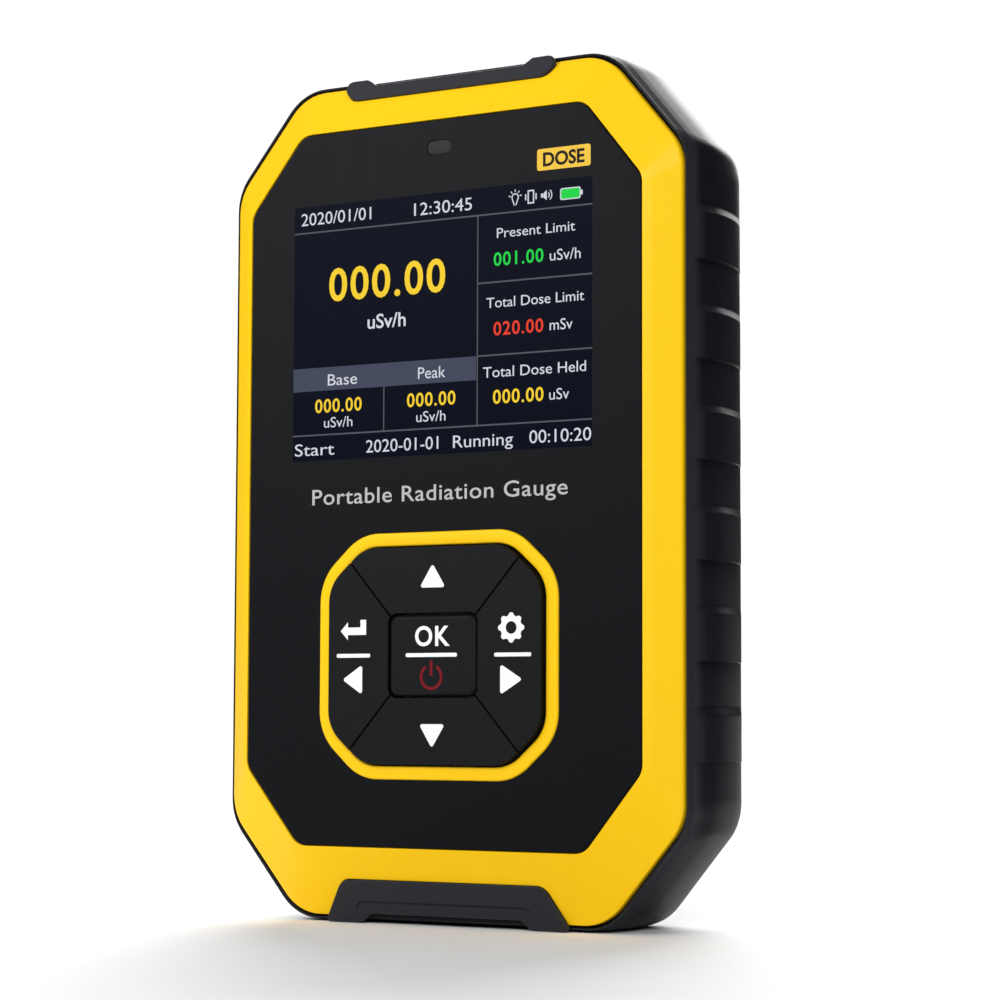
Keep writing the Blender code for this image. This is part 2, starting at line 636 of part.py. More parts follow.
def geiger_tube():
    middle = (TUBE_X, TUBE_Y)
    low, high = TUBE_Z
    rings = [
        (low, circle(2.0, middle)), (low + 0.6, circle(3.7, middle)), (low + 2.4, circle(TUBE_R, middle)),
        (high - 4.0, circle(TUBE_R, middle)), (high - 4.0, circle(TUBE_R - 0.5, middle)),
        (low + 3.0, circle(TUBE_R - 0.5, middle)), (low + 1.5, circle(3.2, middle)),
    ]
    add_object("gm_tube_glass", loft(rings, along_z), GLASS_TINT)
    hollow("gm_tube_cathode", circle(4.1, middle), circle(3.7, middle), (low + 5, high - 6), STEEL, along_z)
    prism("gm_anode_wire", circle(0.3, middle, 8), (low + 4, high - 4.5), STEEL, along_z)
    rings = [
        (high - 3.7, circle(TUBE_R, middle)), (high, circle(TUBE_R, middle)),
        (high, circle(1.0, middle)), (high + 2.5, circle(1.0, middle)),
    ]
    add_object("gm_tube_base", loft(rings, along_z), BRASS)
    for name, z in (("tube_clip_lower", 28.0), ("tube_clip_upper", 88.0)):
        clip_arc(name, middle, z)


def clip_arc(name, middle, z):
    """A sheet-metal clip: a foot on the board and two arms round three quarters of the tube."""
    near, far = TUBE_R + GAP, TUBE_R + GAP + 0.5
    start = math.radians(135)
    angles = [start + math.radians(a) for a in range(0, 271, 27)]
    outer = [(middle[0] + far * math.cos(a), middle[1] + far * math.sin(a)) for a in angles]
    inner = [(middle[0] + near * math.cos(a), middle[1] + near * math.sin(a)) for a in reversed(angles)]
    clip = prism(name, outer + inner, (z, z + 5.0), BRASS, along_z)
    top = middle[1] - near - 0.1
    left, right = middle[0] - 3, middle[0] + 3
    foot = [(right, top), (left, top), (left, ON_BOARD_Y), (right, ON_BOARD_Y)]
    boolean(clip, [cutter(foot, (z + 0.5, z + 4.5), along_z)], "UNION")


def battery():
    low, high = CELL_Z
    cell = rectangle(CELL_HALF, CELL_MID, 1.8)
    prism("battery_cell", cell, CELL_Z, CELL_SILVER, along_z)
    width = (CELL_MID[0] - CELL_HALF[0] + 3, CELL_MID[0] + CELL_HALF[0] - 3)
    depth = (ON_BOARD_Y, CELL_MID[1] - CELL_HALF[1] - GAP)
    box("battery_foam_pad", width, depth, (low + 4, high - 4), SEAL_GREY)
    for name, start, look in (("red", -3.2, WIRE_RED), ("black", -5.8, CHIP_BLACK)):
        route = [(start, 3.0, high + GAP), (start, 3.0, 89.5), (start, -2.0, 87.5), (start, -2.0, 92.5)]
        lead(f"battery_lead_{name}", route, look)


def lead(name, route, look):
    curve = bpy.data.curves.new(name, "CURVE")
    curve.dimensions = "3D"
    curve.bevel_depth = 0.6 * MM
    curve.bevel_resolution = 2
    curve.use_fill_caps = True
    spline = curve.splines.new("POLY")
    points = smooth_route(route, 9)
    spline.points.add(len(points) - 1)
    for slot, point in zip(spline.points, points):
        slot.co = (*(Vector(point) * MM), 1.0)
    wire = bpy.data.objects.new(name, curve)
    curve.materials.append(material(name, look))
    bpy.context.collection.objects.link(wire)


def smooth_route(route, count):
    """Points evenly spaced in parameter along a Bezier curve through four control points."""
    a, b, c, d = (Vector(p) for p in route)
    points = []
    for step in range(count):
        t = step / (count - 1)
        points.append(a * (1 - t) ** 3 + b * 3 * t * (1 - t) ** 2 + c * 3 * t * t * (1 - t) + d * t ** 3)
    return points


def vibration_motor():
    middle = (MOTOR_Y, MOTOR_Z + 5)
    rings = [
        (-4.0, circle(3.0, middle)), (7.0, circle(3.0, middle)),
        (7.0, circle(0.75, middle, 16)), (4.0, circle(0.75, middle, 16)),
    ]
    add_object("vibration_motor_can", loft(rings, along_x), STEEL)
    angles = [math.radians(180 * step / 10) for step in range(11)]
    half_disc = [(middle[0] + 2.8 * math.cos(a), middle[1] - 2.8 * math.sin(a)) for a in angles]
    half_disc += [(middle[0] - 0.8, middle[1] + 0.8), (middle[0] + 0.8, middle[1] + 0.8)]
    origin = (9.0, *middle)
    weight = prism("vibration_motor_weight", half_disc, (7.6, 11.0), BRASS, along_x, origin)
    boolean(weight, [cutter(circle(0.4, middle, 8), (4.4, 8.0), along_x)], "UNION")
    y0, y1 = ON_BOARD_Y, MOTOR_Y - 3.0 - GAP
    box("motor_cradle", (-3.0, 6.0), (y0, y1), (middle[1] - 3.0, middle[1] + 3.0), SEAL_GREY)


def charging_port():
    outer = rectangle(PORT_HALF, (0.0, PORT_Y), 1.2)
    inner = rectangle((PORT_HALF[0] - 0.3, PORT_HALF[1] - 0.3), (0.0, PORT_Y), 0.95)
    low = END_RECESS + 0.3
    rings = [(low + 7.3, outer), (low, outer), (low, inner), (low + 6.3, inner)]
    add_object("usb_c_shell", loft(rings, along_z), STEEL)
    tongue = rectangle((3.35, 0.35), (0.0, PORT_Y))
    prism("usb_c_tongue", tongue, (low + 0.9, low + 6.0), CHIP_BLACK, along_z)


def main():
    clear_scene()
    case_parts()
    front_panel()
    keypad()
    display()
    main_board()
    geiger_tube()
    battery()
    vibration_motor()
    charging_port()


main()
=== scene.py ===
"""Looks of a handheld geiger counter: moulded case, keypad, display and what the case holds.

Lengths are millimetres unless a name says otherwise; meshes are stored in metres, in the frame of
the packed model: +Z up the face, -Y out of the display.
"""
import math

import bmesh
import bpy
from bpy.props import FloatProperty, FloatVectorProperty, IntProperty, PointerProperty
from mathutils import Matrix, Vector


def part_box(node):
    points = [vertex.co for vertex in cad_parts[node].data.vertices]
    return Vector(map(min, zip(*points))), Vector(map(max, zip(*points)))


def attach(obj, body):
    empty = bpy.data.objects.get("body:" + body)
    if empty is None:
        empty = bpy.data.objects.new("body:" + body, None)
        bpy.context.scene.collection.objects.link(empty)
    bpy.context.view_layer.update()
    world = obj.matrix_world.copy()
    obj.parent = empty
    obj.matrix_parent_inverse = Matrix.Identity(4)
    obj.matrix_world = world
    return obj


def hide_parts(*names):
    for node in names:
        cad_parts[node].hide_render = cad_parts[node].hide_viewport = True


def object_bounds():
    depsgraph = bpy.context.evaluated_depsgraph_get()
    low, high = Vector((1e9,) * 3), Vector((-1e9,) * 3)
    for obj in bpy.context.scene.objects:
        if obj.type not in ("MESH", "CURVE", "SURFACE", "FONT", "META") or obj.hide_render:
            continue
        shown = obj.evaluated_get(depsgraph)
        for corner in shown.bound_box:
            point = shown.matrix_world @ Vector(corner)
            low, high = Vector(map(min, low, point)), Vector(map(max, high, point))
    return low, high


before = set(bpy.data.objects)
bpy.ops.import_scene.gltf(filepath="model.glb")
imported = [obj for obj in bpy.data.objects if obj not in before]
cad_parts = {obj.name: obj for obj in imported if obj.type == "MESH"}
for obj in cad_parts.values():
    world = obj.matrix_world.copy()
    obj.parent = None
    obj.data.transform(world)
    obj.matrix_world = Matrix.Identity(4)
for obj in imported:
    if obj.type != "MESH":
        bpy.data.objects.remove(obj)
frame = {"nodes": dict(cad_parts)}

bl_info = {
    "name": "Geiger Counter",
    "version": (1, 0, 0),
    "blender": (4, 5, 0),
    "location": "3D View > Sidebar > Counter",
    "description": "Builds the looks of a handheld geiger counter around its packed frame",
    "category": "Object",
}

MM = 0.001
HOUSING = "housing"
CAD_LOW, CAD_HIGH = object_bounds()
GAP = 0.3
FINE = 10                       # segments in each rounded corner of the case


def span(node):
    """Low corner, high corner and middle of a CAD node, in millimetres."""
    low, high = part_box(node)
    return low / MM, high / MM, (low + high) / MM / 2


# Places read from the frame
CASE_LOW, CASE_HIGH, _ = span("rear_case")
FRAME_LOW, FRAME_HIGH, _ = span("front_case")
PANEL_LOW, PANEL_HIGH, PANEL_MID = span("front_panel")
LCD_MID = span("lcd_panel")[2]
OK_MID = span("key_ok")[2]
PIPE_MID = span("alarm_light_pipe")[2]
PORT_MID = span("usb_c_shell")[2]
LABEL_LOW, _, LABEL_MID = span("rear_label")
SCREW_MIDS = [span(f"case_screw_{i}")[2] for i in range(1, 5)]
WIDTH = CASE_HIGH.x - CASE_LOW.x
HEIGHT = CASE_HIGH.z - CASE_LOW.z
MID_Z = HEIGHT / 2
BACK_Y = CASE_HIGH.y
RIM_Y = CASE_LOW.y
PANEL_Y = PANEL_LOW.y
PANEL_Z = PANEL_MID.z
LCD_Z = LCD_MID.z
KEYPAD_Z = OK_MID.z
KEY_FRONT_Y = CAD_LOW.y / MM

# The case's own proportions
PANEL_HALF = (32.0, 50.86)
PANEL_CUT = (8.82, 10.97)
BAND_HALF = (33.15, 52.4)
FRAME_HALF = (FRAME_HIGH.x, (FRAME_HIGH.z - FRAME_LOW.z) / 2)
FRAME_CUT = (11.6, 13.9)
FRAME_EDGE_Y = PANEL_Y + 3.1
FRAME_BACK_Y = PANEL_Y + 4.3
PLATE_FRONT_Y = PANEL_Y + 1.3
PLATE_BACK_Y = PANEL_Y + 2.7
LIP_OUT = (34.0, 57.2)
LIP_IN = (32.6, 55.8)
CASE_CUT = (12.5, 15.1)
CASE_ROUND = 8.0
CAVITY_HALF = (35.6, 57.8)
CAVITY_ROUND = 7.0
WALL = 2.2
BACK_INSET = (9.3, 6.0)
ROUND_START = (-2.3, 6.0)
PAD_PITCH = 13.53
PAD_LENGTH = 7.5
PAD_COUNT = 6
UNDERCUT = 0.25                 # extra depth right under a pad, as a share of the recess
UNDERCUT_LONG = 1.4
PAD_FIRST_Z = PANEL_Z + 32.6
GRIP_TOP_Z = PANEL_Z + 42.6
GRIP_BOTTOM_Z = PANEL_Z - 46.5
GRIP_DEPTHS = [
    (-8.1, 0.0), (-7.8, 0.06), (-7.05, 0.4), (-5.5, 0.7), (-4.0, 0.77), (-2.3, 0.7), (1.5, 0.5),
    (4.5, 0.32), (7.5, 0.1), (9.0, 0.0),
]
RIM_INSET = [                   # the sides draw in towards the rim
    (-8.9, 2.0), (-8.4, 1.95), (-7.05, 1.25), (-5.5, 0.8), (-4.0, 0.38), (-3.2, 0.17),
    (-2.3, 0.03), (-1.2, 0.0),
]
END_STATIONS = (-15.1, -14.9, -14.0, -13.1, -12.9, -6.5, 0.0, 6.5, 12.9, 13.1, 14.0, 14.9, 15.1)
END_RECESS_HALF = 13.0
END_RECESS = 1.0
# For the end notches and their inserts: 1 is the top end and -1 the bottom one
NOTCH_HALF = {1: (16.1, 17.8), -1: (16.4, 19.3)}
TRIM_FRONT_Y = {1: (-10.7, -10.0), -1: (-11.25, -9.95)}
TRIM_RELIEF = {1: 1.0, -1: 1.35}
TRIM_CORNER = {1: 1.1, -1: 0.45}
TRIM_SOFTEN = {1: 0.3, -1: 0.14}
NOTCH_FLOOR = 55.35
RING_OUT = (19.35, 17.15)
RING_IN = (17.45, 15.25)
RING_CUT = (6.8, 6.2)
RING_ROUND = 7.5
RING_IN_CUT = (5.7, 5.1)
RING_IN_ROUND = 5.6
RING_PROUD = 0.3
BOSS_R = 3.6                    # posts round the screw wells, open towards the front case
BOSS_FRONT_Y = -1.6
WELL_R = 2.7
PILOT_R = 1.3
SCREW_SEAT_Y = 3.0
SLOT_MID_X = 19.0
TOOL_FRONT_Y = -14.0            # cutters, and what a cutter slopes back, start here
PRINT_HIGH = 0.012              # how far ink stands proud of its surface, and reaches into it
PRINT_DEEP = 0.008
OK_HALF = (7.15, 5.75)
OK_ROUND = 1.25
KEY_GAP = 0.24                  # between neighbouring keytops, and between them and the ring
KEY_FACE_Y = KEY_FRONT_Y + 0.03
LEGEND_LEVELS = (KEY_FACE_Y - 0.015, KEY_FACE_Y + 0.01)
GEAR_STEPS = 64
LCD_HALF = (24.45, 18.36)


# ---------------------------------------------------------------- outlines and skins

def rounded_arcs(corners, radii, segments):
    """Each corner of a closed outline, listed anticlockwise, as its own list of arc points."""
    count = len(corners)
    arcs = []
    for index, radius in enumerate(radii):
        here = Vector(corners[index])
        to_last = (Vector(corners[index - 1]) - here).normalized()
        to_next = (Vector(corners[(index + 1) % count]) - here).normalized()
        half = math.acos(max(-1.0, min(1.0, to_last.dot(to_next)))) / 2
        centre = here + (to_last + to_next).normalized() * radius / math.sin(half)
        start = here + to_last * radius / math.tan(half) - centre
        arc = []
        for step in range(segments + 1):
            turned = start.copy()
            turned.rotate(Matrix.Rotation((math.pi - 2 * half) * step / segments, 2))
            arc.append(tuple(centre + turned))
        arcs.append(arc)
    return arcs


def rounded(corners, radii, segments):
    if not hasattr(radii, "__len__"):
        radii = [radii] * len(corners)
    return [point for arc in rounded_arcs(corners, radii, segments) for point in arc]


def grown(half, by):
    """A half size made larger all round."""
    return (half[0] + by, half[1] + by)


def octagon_corners(half, cut):
    (hw, hh), (cx, cz) = half, cut
    return [
        (hw, hh - cz), (hw - cx, hh), (cx - hw, hh), (-hw, hh - cz),
        (-hw, cz - hh), (cx - hw, -hh), (hw - cx, -hh), (hw, cz - hh),
    ]


def octagon(half, cut, radius, mid_z, segments=FINE):
    points = rounded(octagon_corners(half, cut), radius, segments)
    return [(x, z + mid_z) for x, z in points]


def rectangle(half, mid, radius=0.0, segments=5):
    (hw, hh), (mx, mz) = half, mid
    corners = [(mx + hw, mz + hh), (mx - hw, mz + hh), (mx - hw, mz - hh), (mx + hw, mz - hh)]
    return rounded(corners, radius, segments) if radius else corners


def circle(radius, mid, count=32):
    angles = [2 * math.pi * step / count for step in range(count)]
    return [(mid[0] + radius * math.cos(a), mid[1] + radius * math.sin(a)) for a in angles]


def along_y(point, level):
    return (point[0], level, point[1])


def along_z(point, level):
    return (point[0], point[1], level)


def along_x(point, level):
    return (level, point[0], point[1])


def skin(rings, place=along_y, closed=False):
    """A bmesh through a list of (level, outline), capped at both ends or joined end to end."""
    bm = bmesh.new()
    loops = [[bm.verts.new(place(p, level)) for p in outline] for level, outline in rings]
    count = len(loops[0])
    pairs = list(zip(loops, loops[1:])) + ([(loops[-1], loops[0])] if closed else [])
    for first, second in pairs:
        for i in range(count):
            j = (i + 1) % count
            bm.faces.new((first[i], first[j], second[j], second[i]))
    if not closed:
        bm.faces.new(loops[0])
        bm.faces.new(reversed(loops[-1]))
    return bm


def new_piece(name, bm, material=None, sharp=30.0, merge=0.0005):
    """An object in metres at the origin from a bmesh in millimetres."""
    bmesh.ops.remove_doubles(bm, verts=bm.verts, dist=merge)
    bmesh.ops.recalc_face_normals(bm, faces=bm.faces)
    bmesh.ops.scale(bm, vec=(MM, MM, MM), verts=bm.verts)
    mesh = bpy.data.meshes.new(name)
    bm.to_mesh(mesh)
    bm.free()
    mesh.shade_smooth()
    mesh.set_sharp_from_angle(angle=math.radians(sharp))
    made = bpy.data.objects.new(name, mesh)
    bpy.context.scene.collection.objects.link(made)
    if material:
        mesh.materials.append(material)
    return made


def prism(name, outline, levels, material=None, place=along_y):
    return new_piece(name, skin([(level, outline) for level in levels], place), material)


def plate(name, outlines, levels, material):
    """Several flat closed shapes of one thickness as one mesh."""
    bm = bmesh.new()
    for outline in outlines:
        part = skin([(level, outline) for level in levels])
        scrap = bpy.data.meshes.new("scrap")
        bmesh.ops.recalc_face_normals(part, faces=part.faces)
        part.to_mesh(scrap)
        part.free()
        bm.from_mesh(scrap)
        bpy.data.meshes.remove(scrap)
    return new_piece(name, bm, material)


def bake(piece):
    """Replace a piece's mesh by what its modifiers make of it."""
    graph = bpy.context.evaluated_depsgraph_get()
    mesh = bpy.data.meshes.new_from_object(
        piece.evaluated_get(graph), preserve_all_data_layers=True, depsgraph=graph)
    piece.modifiers.clear()
    piece.data = mesh
    return piece


def carve(target, tools, operation="DIFFERENCE"):
    """Apply an exact Boolean for each tool, in order, and remove the tools."""
    material = target.data.materials[0] if target.data.materials else None
    for tool in tools:
        step = target.modifiers.new("carve", "BOOLEAN")
        step.solver = "EXACT"
        step.operation = operation
        step.object = tool
        bake(target)
        bpy.data.objects.remove(tool, do_unlink=True)
    target.data.materials.clear()
    if material:
        target.data.materials.append(material)
    return even_out(target)


def even_out(piece):
    """Smooth shading with true edges kept sharp, and large faces given the most say."""
    piece.data.shade_smooth()
    piece.data.set_sharp_from_angle(angle=math.radians(30.0))
    even = piece.modifiers.new("even", "WEIGHTED_NORMAL")
    even.keep_sharp = True
    return bake(piece)


def soften(piece, width, segments=3, angle=30.0):
    """Round a piece's sharp edges and even out its shading."""
    bevel = piece.modifiers.new("soften", "BEVEL")
    bevel.width = width * MM
    bevel.segments = segments
    bevel.limit_method = "ANGLE"
    bevel.angle_limit = math.radians(angle)
    bevel.harden_normals = False
    even = piece.modifiers.new("even", "WEIGHTED_NORMAL")
    even.keep_sharp = True
    return piece


def settle(piece, body, slot, *nodes):
    """Hand a finished piece to the frame: its body, its slot, and the CAD nodes it stands for."""
    if piece.modifiers:
        bake(piece)
    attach(piece, body)
    if nodes:
        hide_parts(*nodes)
    return piece


# ---------------------------------------------------------------- material nodes

class Wire:
    """A node socket that Python arithmetic can be done on."""

    def __init__(self, finish, socket):
        self.finish = finish
        self.socket = socket

    def _math(self, operation, first, second=None):
        values = [first] if second is None else [first, second]
        return self.finish.node("ShaderNodeMath", {"operation": operation}, *values)

    def __add__(self, other):
        return self._math("ADD", self, other)

    def __radd__(self, other):
        return self._math("ADD", other, self)

    def __sub__(self, other):
        return self._math("SUBTRACT", self, other)

    def __rsub__(self, other):
        return self._math("SUBTRACT", other, self)

    def __mul__(self, other):
        return self._math("MULTIPLY", self, other)

    def __rmul__(self, other):
        return self._math("MULTIPLY", other, self)


class Finish:
    """A Principled material and the nodes that drive it."""

    def __init__(self, name, metallic=0.0, **sockets):
        self.material = bpy.data.materials.new(name)
        self.material.use_nodes = True
        self.tree = self.material.node_tree
        self.shader = self.tree.nodes["Principled BSDF"]
        self.shader.inputs["Metallic"].default_value = metallic
        for socket, value in sockets.items():
            self.shader.inputs[socket.replace("_", " ")].default_value = value
        self.place = self.node("ShaderNodeTexCoord", {}, out="Object")

    def node(self, kind, settings, *values, out=0, **named):
        """Make a node, set its settings, feed its sockets in order or by name; give one output."""
        made = self.tree.nodes.new(kind)
        for setting, value in settings.items():
            setattr(made, setting, value)
        for index, value in enumerate(values):
            self.feed(made.inputs[index], value)
        for key, value in named.items():
            self.feed(made.inputs[key.replace("_", " ")], value)
        return Wire(self, made.outputs[out])

    def feed(self, socket, value):
        if isinstance(value, Wire):
            self.tree.links.new(value.socket, socket)
        else:
            socket.default_value = value

    def noise(self, size, detail=2.0, stretch=(1, 1, 1), roughness=0.5):
        """Noise with features about this many millimetres across."""
        place = self.node("ShaderNodeMapping", {}, self.place, Scale=stretch)
        return self.node(
            "ShaderNodeTexNoise", {"noise_dimensions": "3D"}, Vector=place,
            Scale=1000.0 / size, Detail=detail, Roughness=roughness, out="Fac",
        )

    def mix(self, factor, first, second):
        """A colour mix; sockets 6 and 7 are a Mix node's two colours, and output 2 its colour."""
        mixed = self.node("ShaderNodeMix", {"data_type": "RGBA"}, factor, out=2)
        for index, value in ((6, first), (7, second)):
            self.feed(mixed.socket.node.inputs[index], value)
        return mixed

    def bump(self, height, depth_mm, strength):
        return self.node("ShaderNodeBump", {}, Strength=strength, Distance=depth_mm * MM, Height=height)

    def set(self, **sockets):
        for name, value in sockets.items():
            self.feed(self.shader.inputs[name.replace("_", " ")], value)
        return self.material


def rgba(colour, gain=1.0):
    return (colour[0] * gain, colour[1] * gain, colour[2] * gain, 1.0)


def moulded(name, colour, roughness, grain=0.35, depth=0.004, drift=0.06, **sockets):
    """Moulded plastic: a fine spark-eroded grain, slow colour drift and uneven gloss."""
    made = Finish(name, **sockets)
    slow = made.noise(22.0, 3.0)
    fine = made.noise(grain, 2.0, roughness=0.6)
    rub = made.noise(3.0, 4.0, stretch=(1, 1, 0.25))
    tone = made.mix(slow, rgba(colour, 1 - drift), rgba(colour, 1 + drift))
    gloss = roughness - 0.05 + rub * 0.07 + fine * 0.03
    return made.set(Base_Color=tone, Roughness=gloss, Normal=made.bump(fine, depth, 0.6))


def case_finish(colour):
    """The case's satin black, with a paler matt strip along its front rim."""
    made = Finish("case_black", Specular_IOR_Level=0.075)
    slow = made.noise(22.0, 3.0)
    fine = made.noise(0.3, 2.0, roughness=0.6)
    depth = made.node("ShaderNodeSeparateXYZ", {}, made.place, out="Y")
    # Painted highlight: the rim strip gets a paler base colour that stands in for the light it catches, plus
    # rougher gloss
    painted_rim_light = made.node("ShaderNodeMapRange", {}, depth, -5.4 * MM, -7.2 * MM)
    body = made.mix(slow, rgba(colour, 0.94), rgba(colour, 1.06))
    tone = made.mix(painted_rim_light, body, (0.017, 0.0185, 0.022, 1.0))
    gloss = 0.37 + fine * 0.05 + painted_rim_light * 0.1
    return made.set(Base_Color=tone, Roughness=gloss, Normal=made.bump(fine, 0.004, 0.6))


def rubbery(name, colour, roughness):
    made = Finish(name, Sheen_Weight=0.08, Specular_IOR_Level=0.2)
    fine = made.noise(0.5, 3.0, roughness=0.7)
    slow = made.noise(9.0, 2.0)
    tone = made.mix(slow, rgba(colour, 0.88), rgba(colour, 1.12))
    gloss = roughness - 0.04 + fine * 0.08
    return made.set(Base_Color=tone, Roughness=gloss, Normal=made.bump(fine, 0.012, 0.5))


def turned_metal(name, colour, roughness, brushed=(1, 1, 1)):
    made = Finish(name, metallic=1.0)
    lines = made.noise(0.4, 3.0, stretch=brushed, roughness=0.7)
    stain = made.noise(4.0, 3.0)
    tone = made.mix(stain, rgba(colour, 0.85), rgba(colour, 1.1))
    gloss = roughness - 0.08 + lines * 0.16
    return made.set(Base_Color=tone, Roughness=gloss, Normal=made.bump(lines, 0.004, 0.5))


def lit_ink(name, colour, strength):
    """A lit part of the display: its own light, a little uneven as a backlight is."""
    made = Finish(name, Specular_IOR_Level=0.03)
    glow = made.noise(14.0, 1.0)
    tone = made.mix(glow, rgba(colour, 0.92), rgba(colour, 1.06))
    made.shader.inputs["Emission Strength"].default_value = strength
    return made.set(Base_Color=(0.004, 0.004, 0.004, 1.0), Roughness=0.4, Emission_Color=tone)


def printed_ink(name, colour):
    made = Finish(name, Specular_IOR_Level=0.12)
    speckle = made.noise(0.3, 2.0)
    tone = made.mix(speckle, rgba(colour, 0.93), rgba(colour, 1.05))
    return made.set(Base_Color=tone, Roughness=0.42 + speckle * 0.08)


def board_laminate(name, colour):
    """Green solder mask with lighter copper tracks under it."""
    made = Finish(name)
    spread = made.node(
        "ShaderNodeTexBrick", {"offset": 0.37, "squash": 1.3},
        Vector=made.node("ShaderNodeMapping", {}, made.place, Rotation=(math.pi / 2, 0, 0)),
        Scale=160.0, Mortar_Size=0.035, out="Fac",
    )
    weave = made.noise(0.8, 2.0)
    tone = made.mix(spread, rgba(colour), rgba(colour, 1.9))
    return made.set(Base_Color=tone, Roughness=0.3 + weave * 0.12, Normal=made.bump(spread, 0.03, 0.5))


def clear_glass(name):
    made = Finish(name, Transmission_Weight=0.9, IOR=1.47)
    smear = made.noise(5.0, 3.0)
    return made.set(Base_Color=(0.93, 0.96, 0.97, 1.0), Roughness=0.02 + smear * 0.05)


class Palette:
    """The finishes, each made the first time that a piece asks for it."""

    made = {}

    @classmethod
    def get(cls, name):
        if name not in cls.made:
            cls.made[name] = cls.recipes()[name]()
        return cls.made[name]

    @staticmethod
    def recipes():
        look = bpy.context.scene.counter_colours
        return {
            "yellow": lambda: moulded(
                "yellow_abs", look.frame, 0.36, grain=0.5, depth=0.003, drift=0.02, Specular_IOR_Level=0.15),
            "case": lambda: case_finish(look.case),
            "trim": lambda: rubbery("trim_black", look.trim, 0.5),
            "panel": lambda: moulded(
                "panel_black", look.panel, 0.42, grain=0.25, depth=0.002, Specular_IOR_Level=0.09),
            "window": lambda: moulded(
                "display_navy", look.display, 0.35, grain=0.2, depth=0.001, Specular_IOR_Level=0.03),
            "key": lambda: moulded(
                "key_black", look.keys, 0.44, grain=0.22, depth=0.006, Specular_IOR_Level=0.12),
            "pipe": lambda: moulded(
                "smoked_pipe", (0.022, 0.021, 0.023), 0.35, drift=0.1, Specular_IOR_Level=0.08),
            "white_ink": lambda: printed_ink("legend_white", (0.85, 0.86, 0.88)),
            "grey_ink": lambda: printed_ink("title_grey", (0.42, 0.42, 0.425)),
            "red_ink": lambda: printed_ink("legend_red", (0.17, 0.005, 0.011)),
            "badge": lambda: printed_ink("badge_yellow", (0.74, 0.46, 0.045)),
            "dark_ink": lambda: printed_ink("badge_dark", (0.008, 0.005, 0.003)),
            "lit_white": lambda: lit_ink("lit_white", (0.72, 0.76, 0.84), 0.9),
            "lit_yellow": lambda: lit_ink("lit_yellow", (0.95, 0.64, 0.03), 0.98),
            "lit_green": lambda: lit_ink("lit_green", (0.015, 0.68, 0.07), 0.98),
            "lit_red": lambda: lit_ink("lit_red", (0.8, 0.05, 0.025), 0.98),
            "lit_line": lambda: lit_ink("lit_line", (0.11, 0.115, 0.14), 0.8),
            "lit_band": lambda: lit_ink("lit_band", (0.062, 0.072, 0.12), 0.85),
            "steel": lambda: turned_metal("plated_steel", (0.62, 0.63, 0.65), 0.32),
            "brass": lambda: turned_metal("spring_brass", (0.78, 0.56, 0.26), 0.3),
            "foil": lambda: turned_metal("cell_foil", (0.6, 0.61, 0.63), 0.42),
            "rubber": lambda: rubbery("seal_rubber", (0.035, 0.036, 0.04), 0.72),
            "foam": lambda: rubbery("pad_foam", (0.09, 0.09, 0.1), 0.9),
            "silicone": lambda: rubbery("membrane_silicone", (0.3, 0.31, 0.33), 0.6),
            "resin": lambda: moulded("chip_resin", (0.018, 0.018, 0.02), 0.5, depth=0.01),
            "nylon": lambda: moulded("connector_nylon", (0.72, 0.7, 0.63), 0.5),
            "film": lambda: moulded("amber_film", (0.55, 0.24, 0.03), 0.3),
            "board": lambda: board_laminate("board_mask", (0.008, 0.085, 0.035)),
            "glass": lambda: clear_glass("tube_glass"),
            "red_wire": lambda: rubbery("lead_red", (0.5, 0.02, 0.02), 0.45),
            "black_wire": lambda: rubbery("lead_black", (0.02, 0.02, 0.02), 0.45),
            "label": lambda: printed_ink("label_film", (0.16, 0.165, 0.175)),
            "lamp": lambda: moulded("lamp_lens", (0.75, 0.74, 0.65), 0.25),
        }


# ---------------------------------------------------------------- geometry nodes

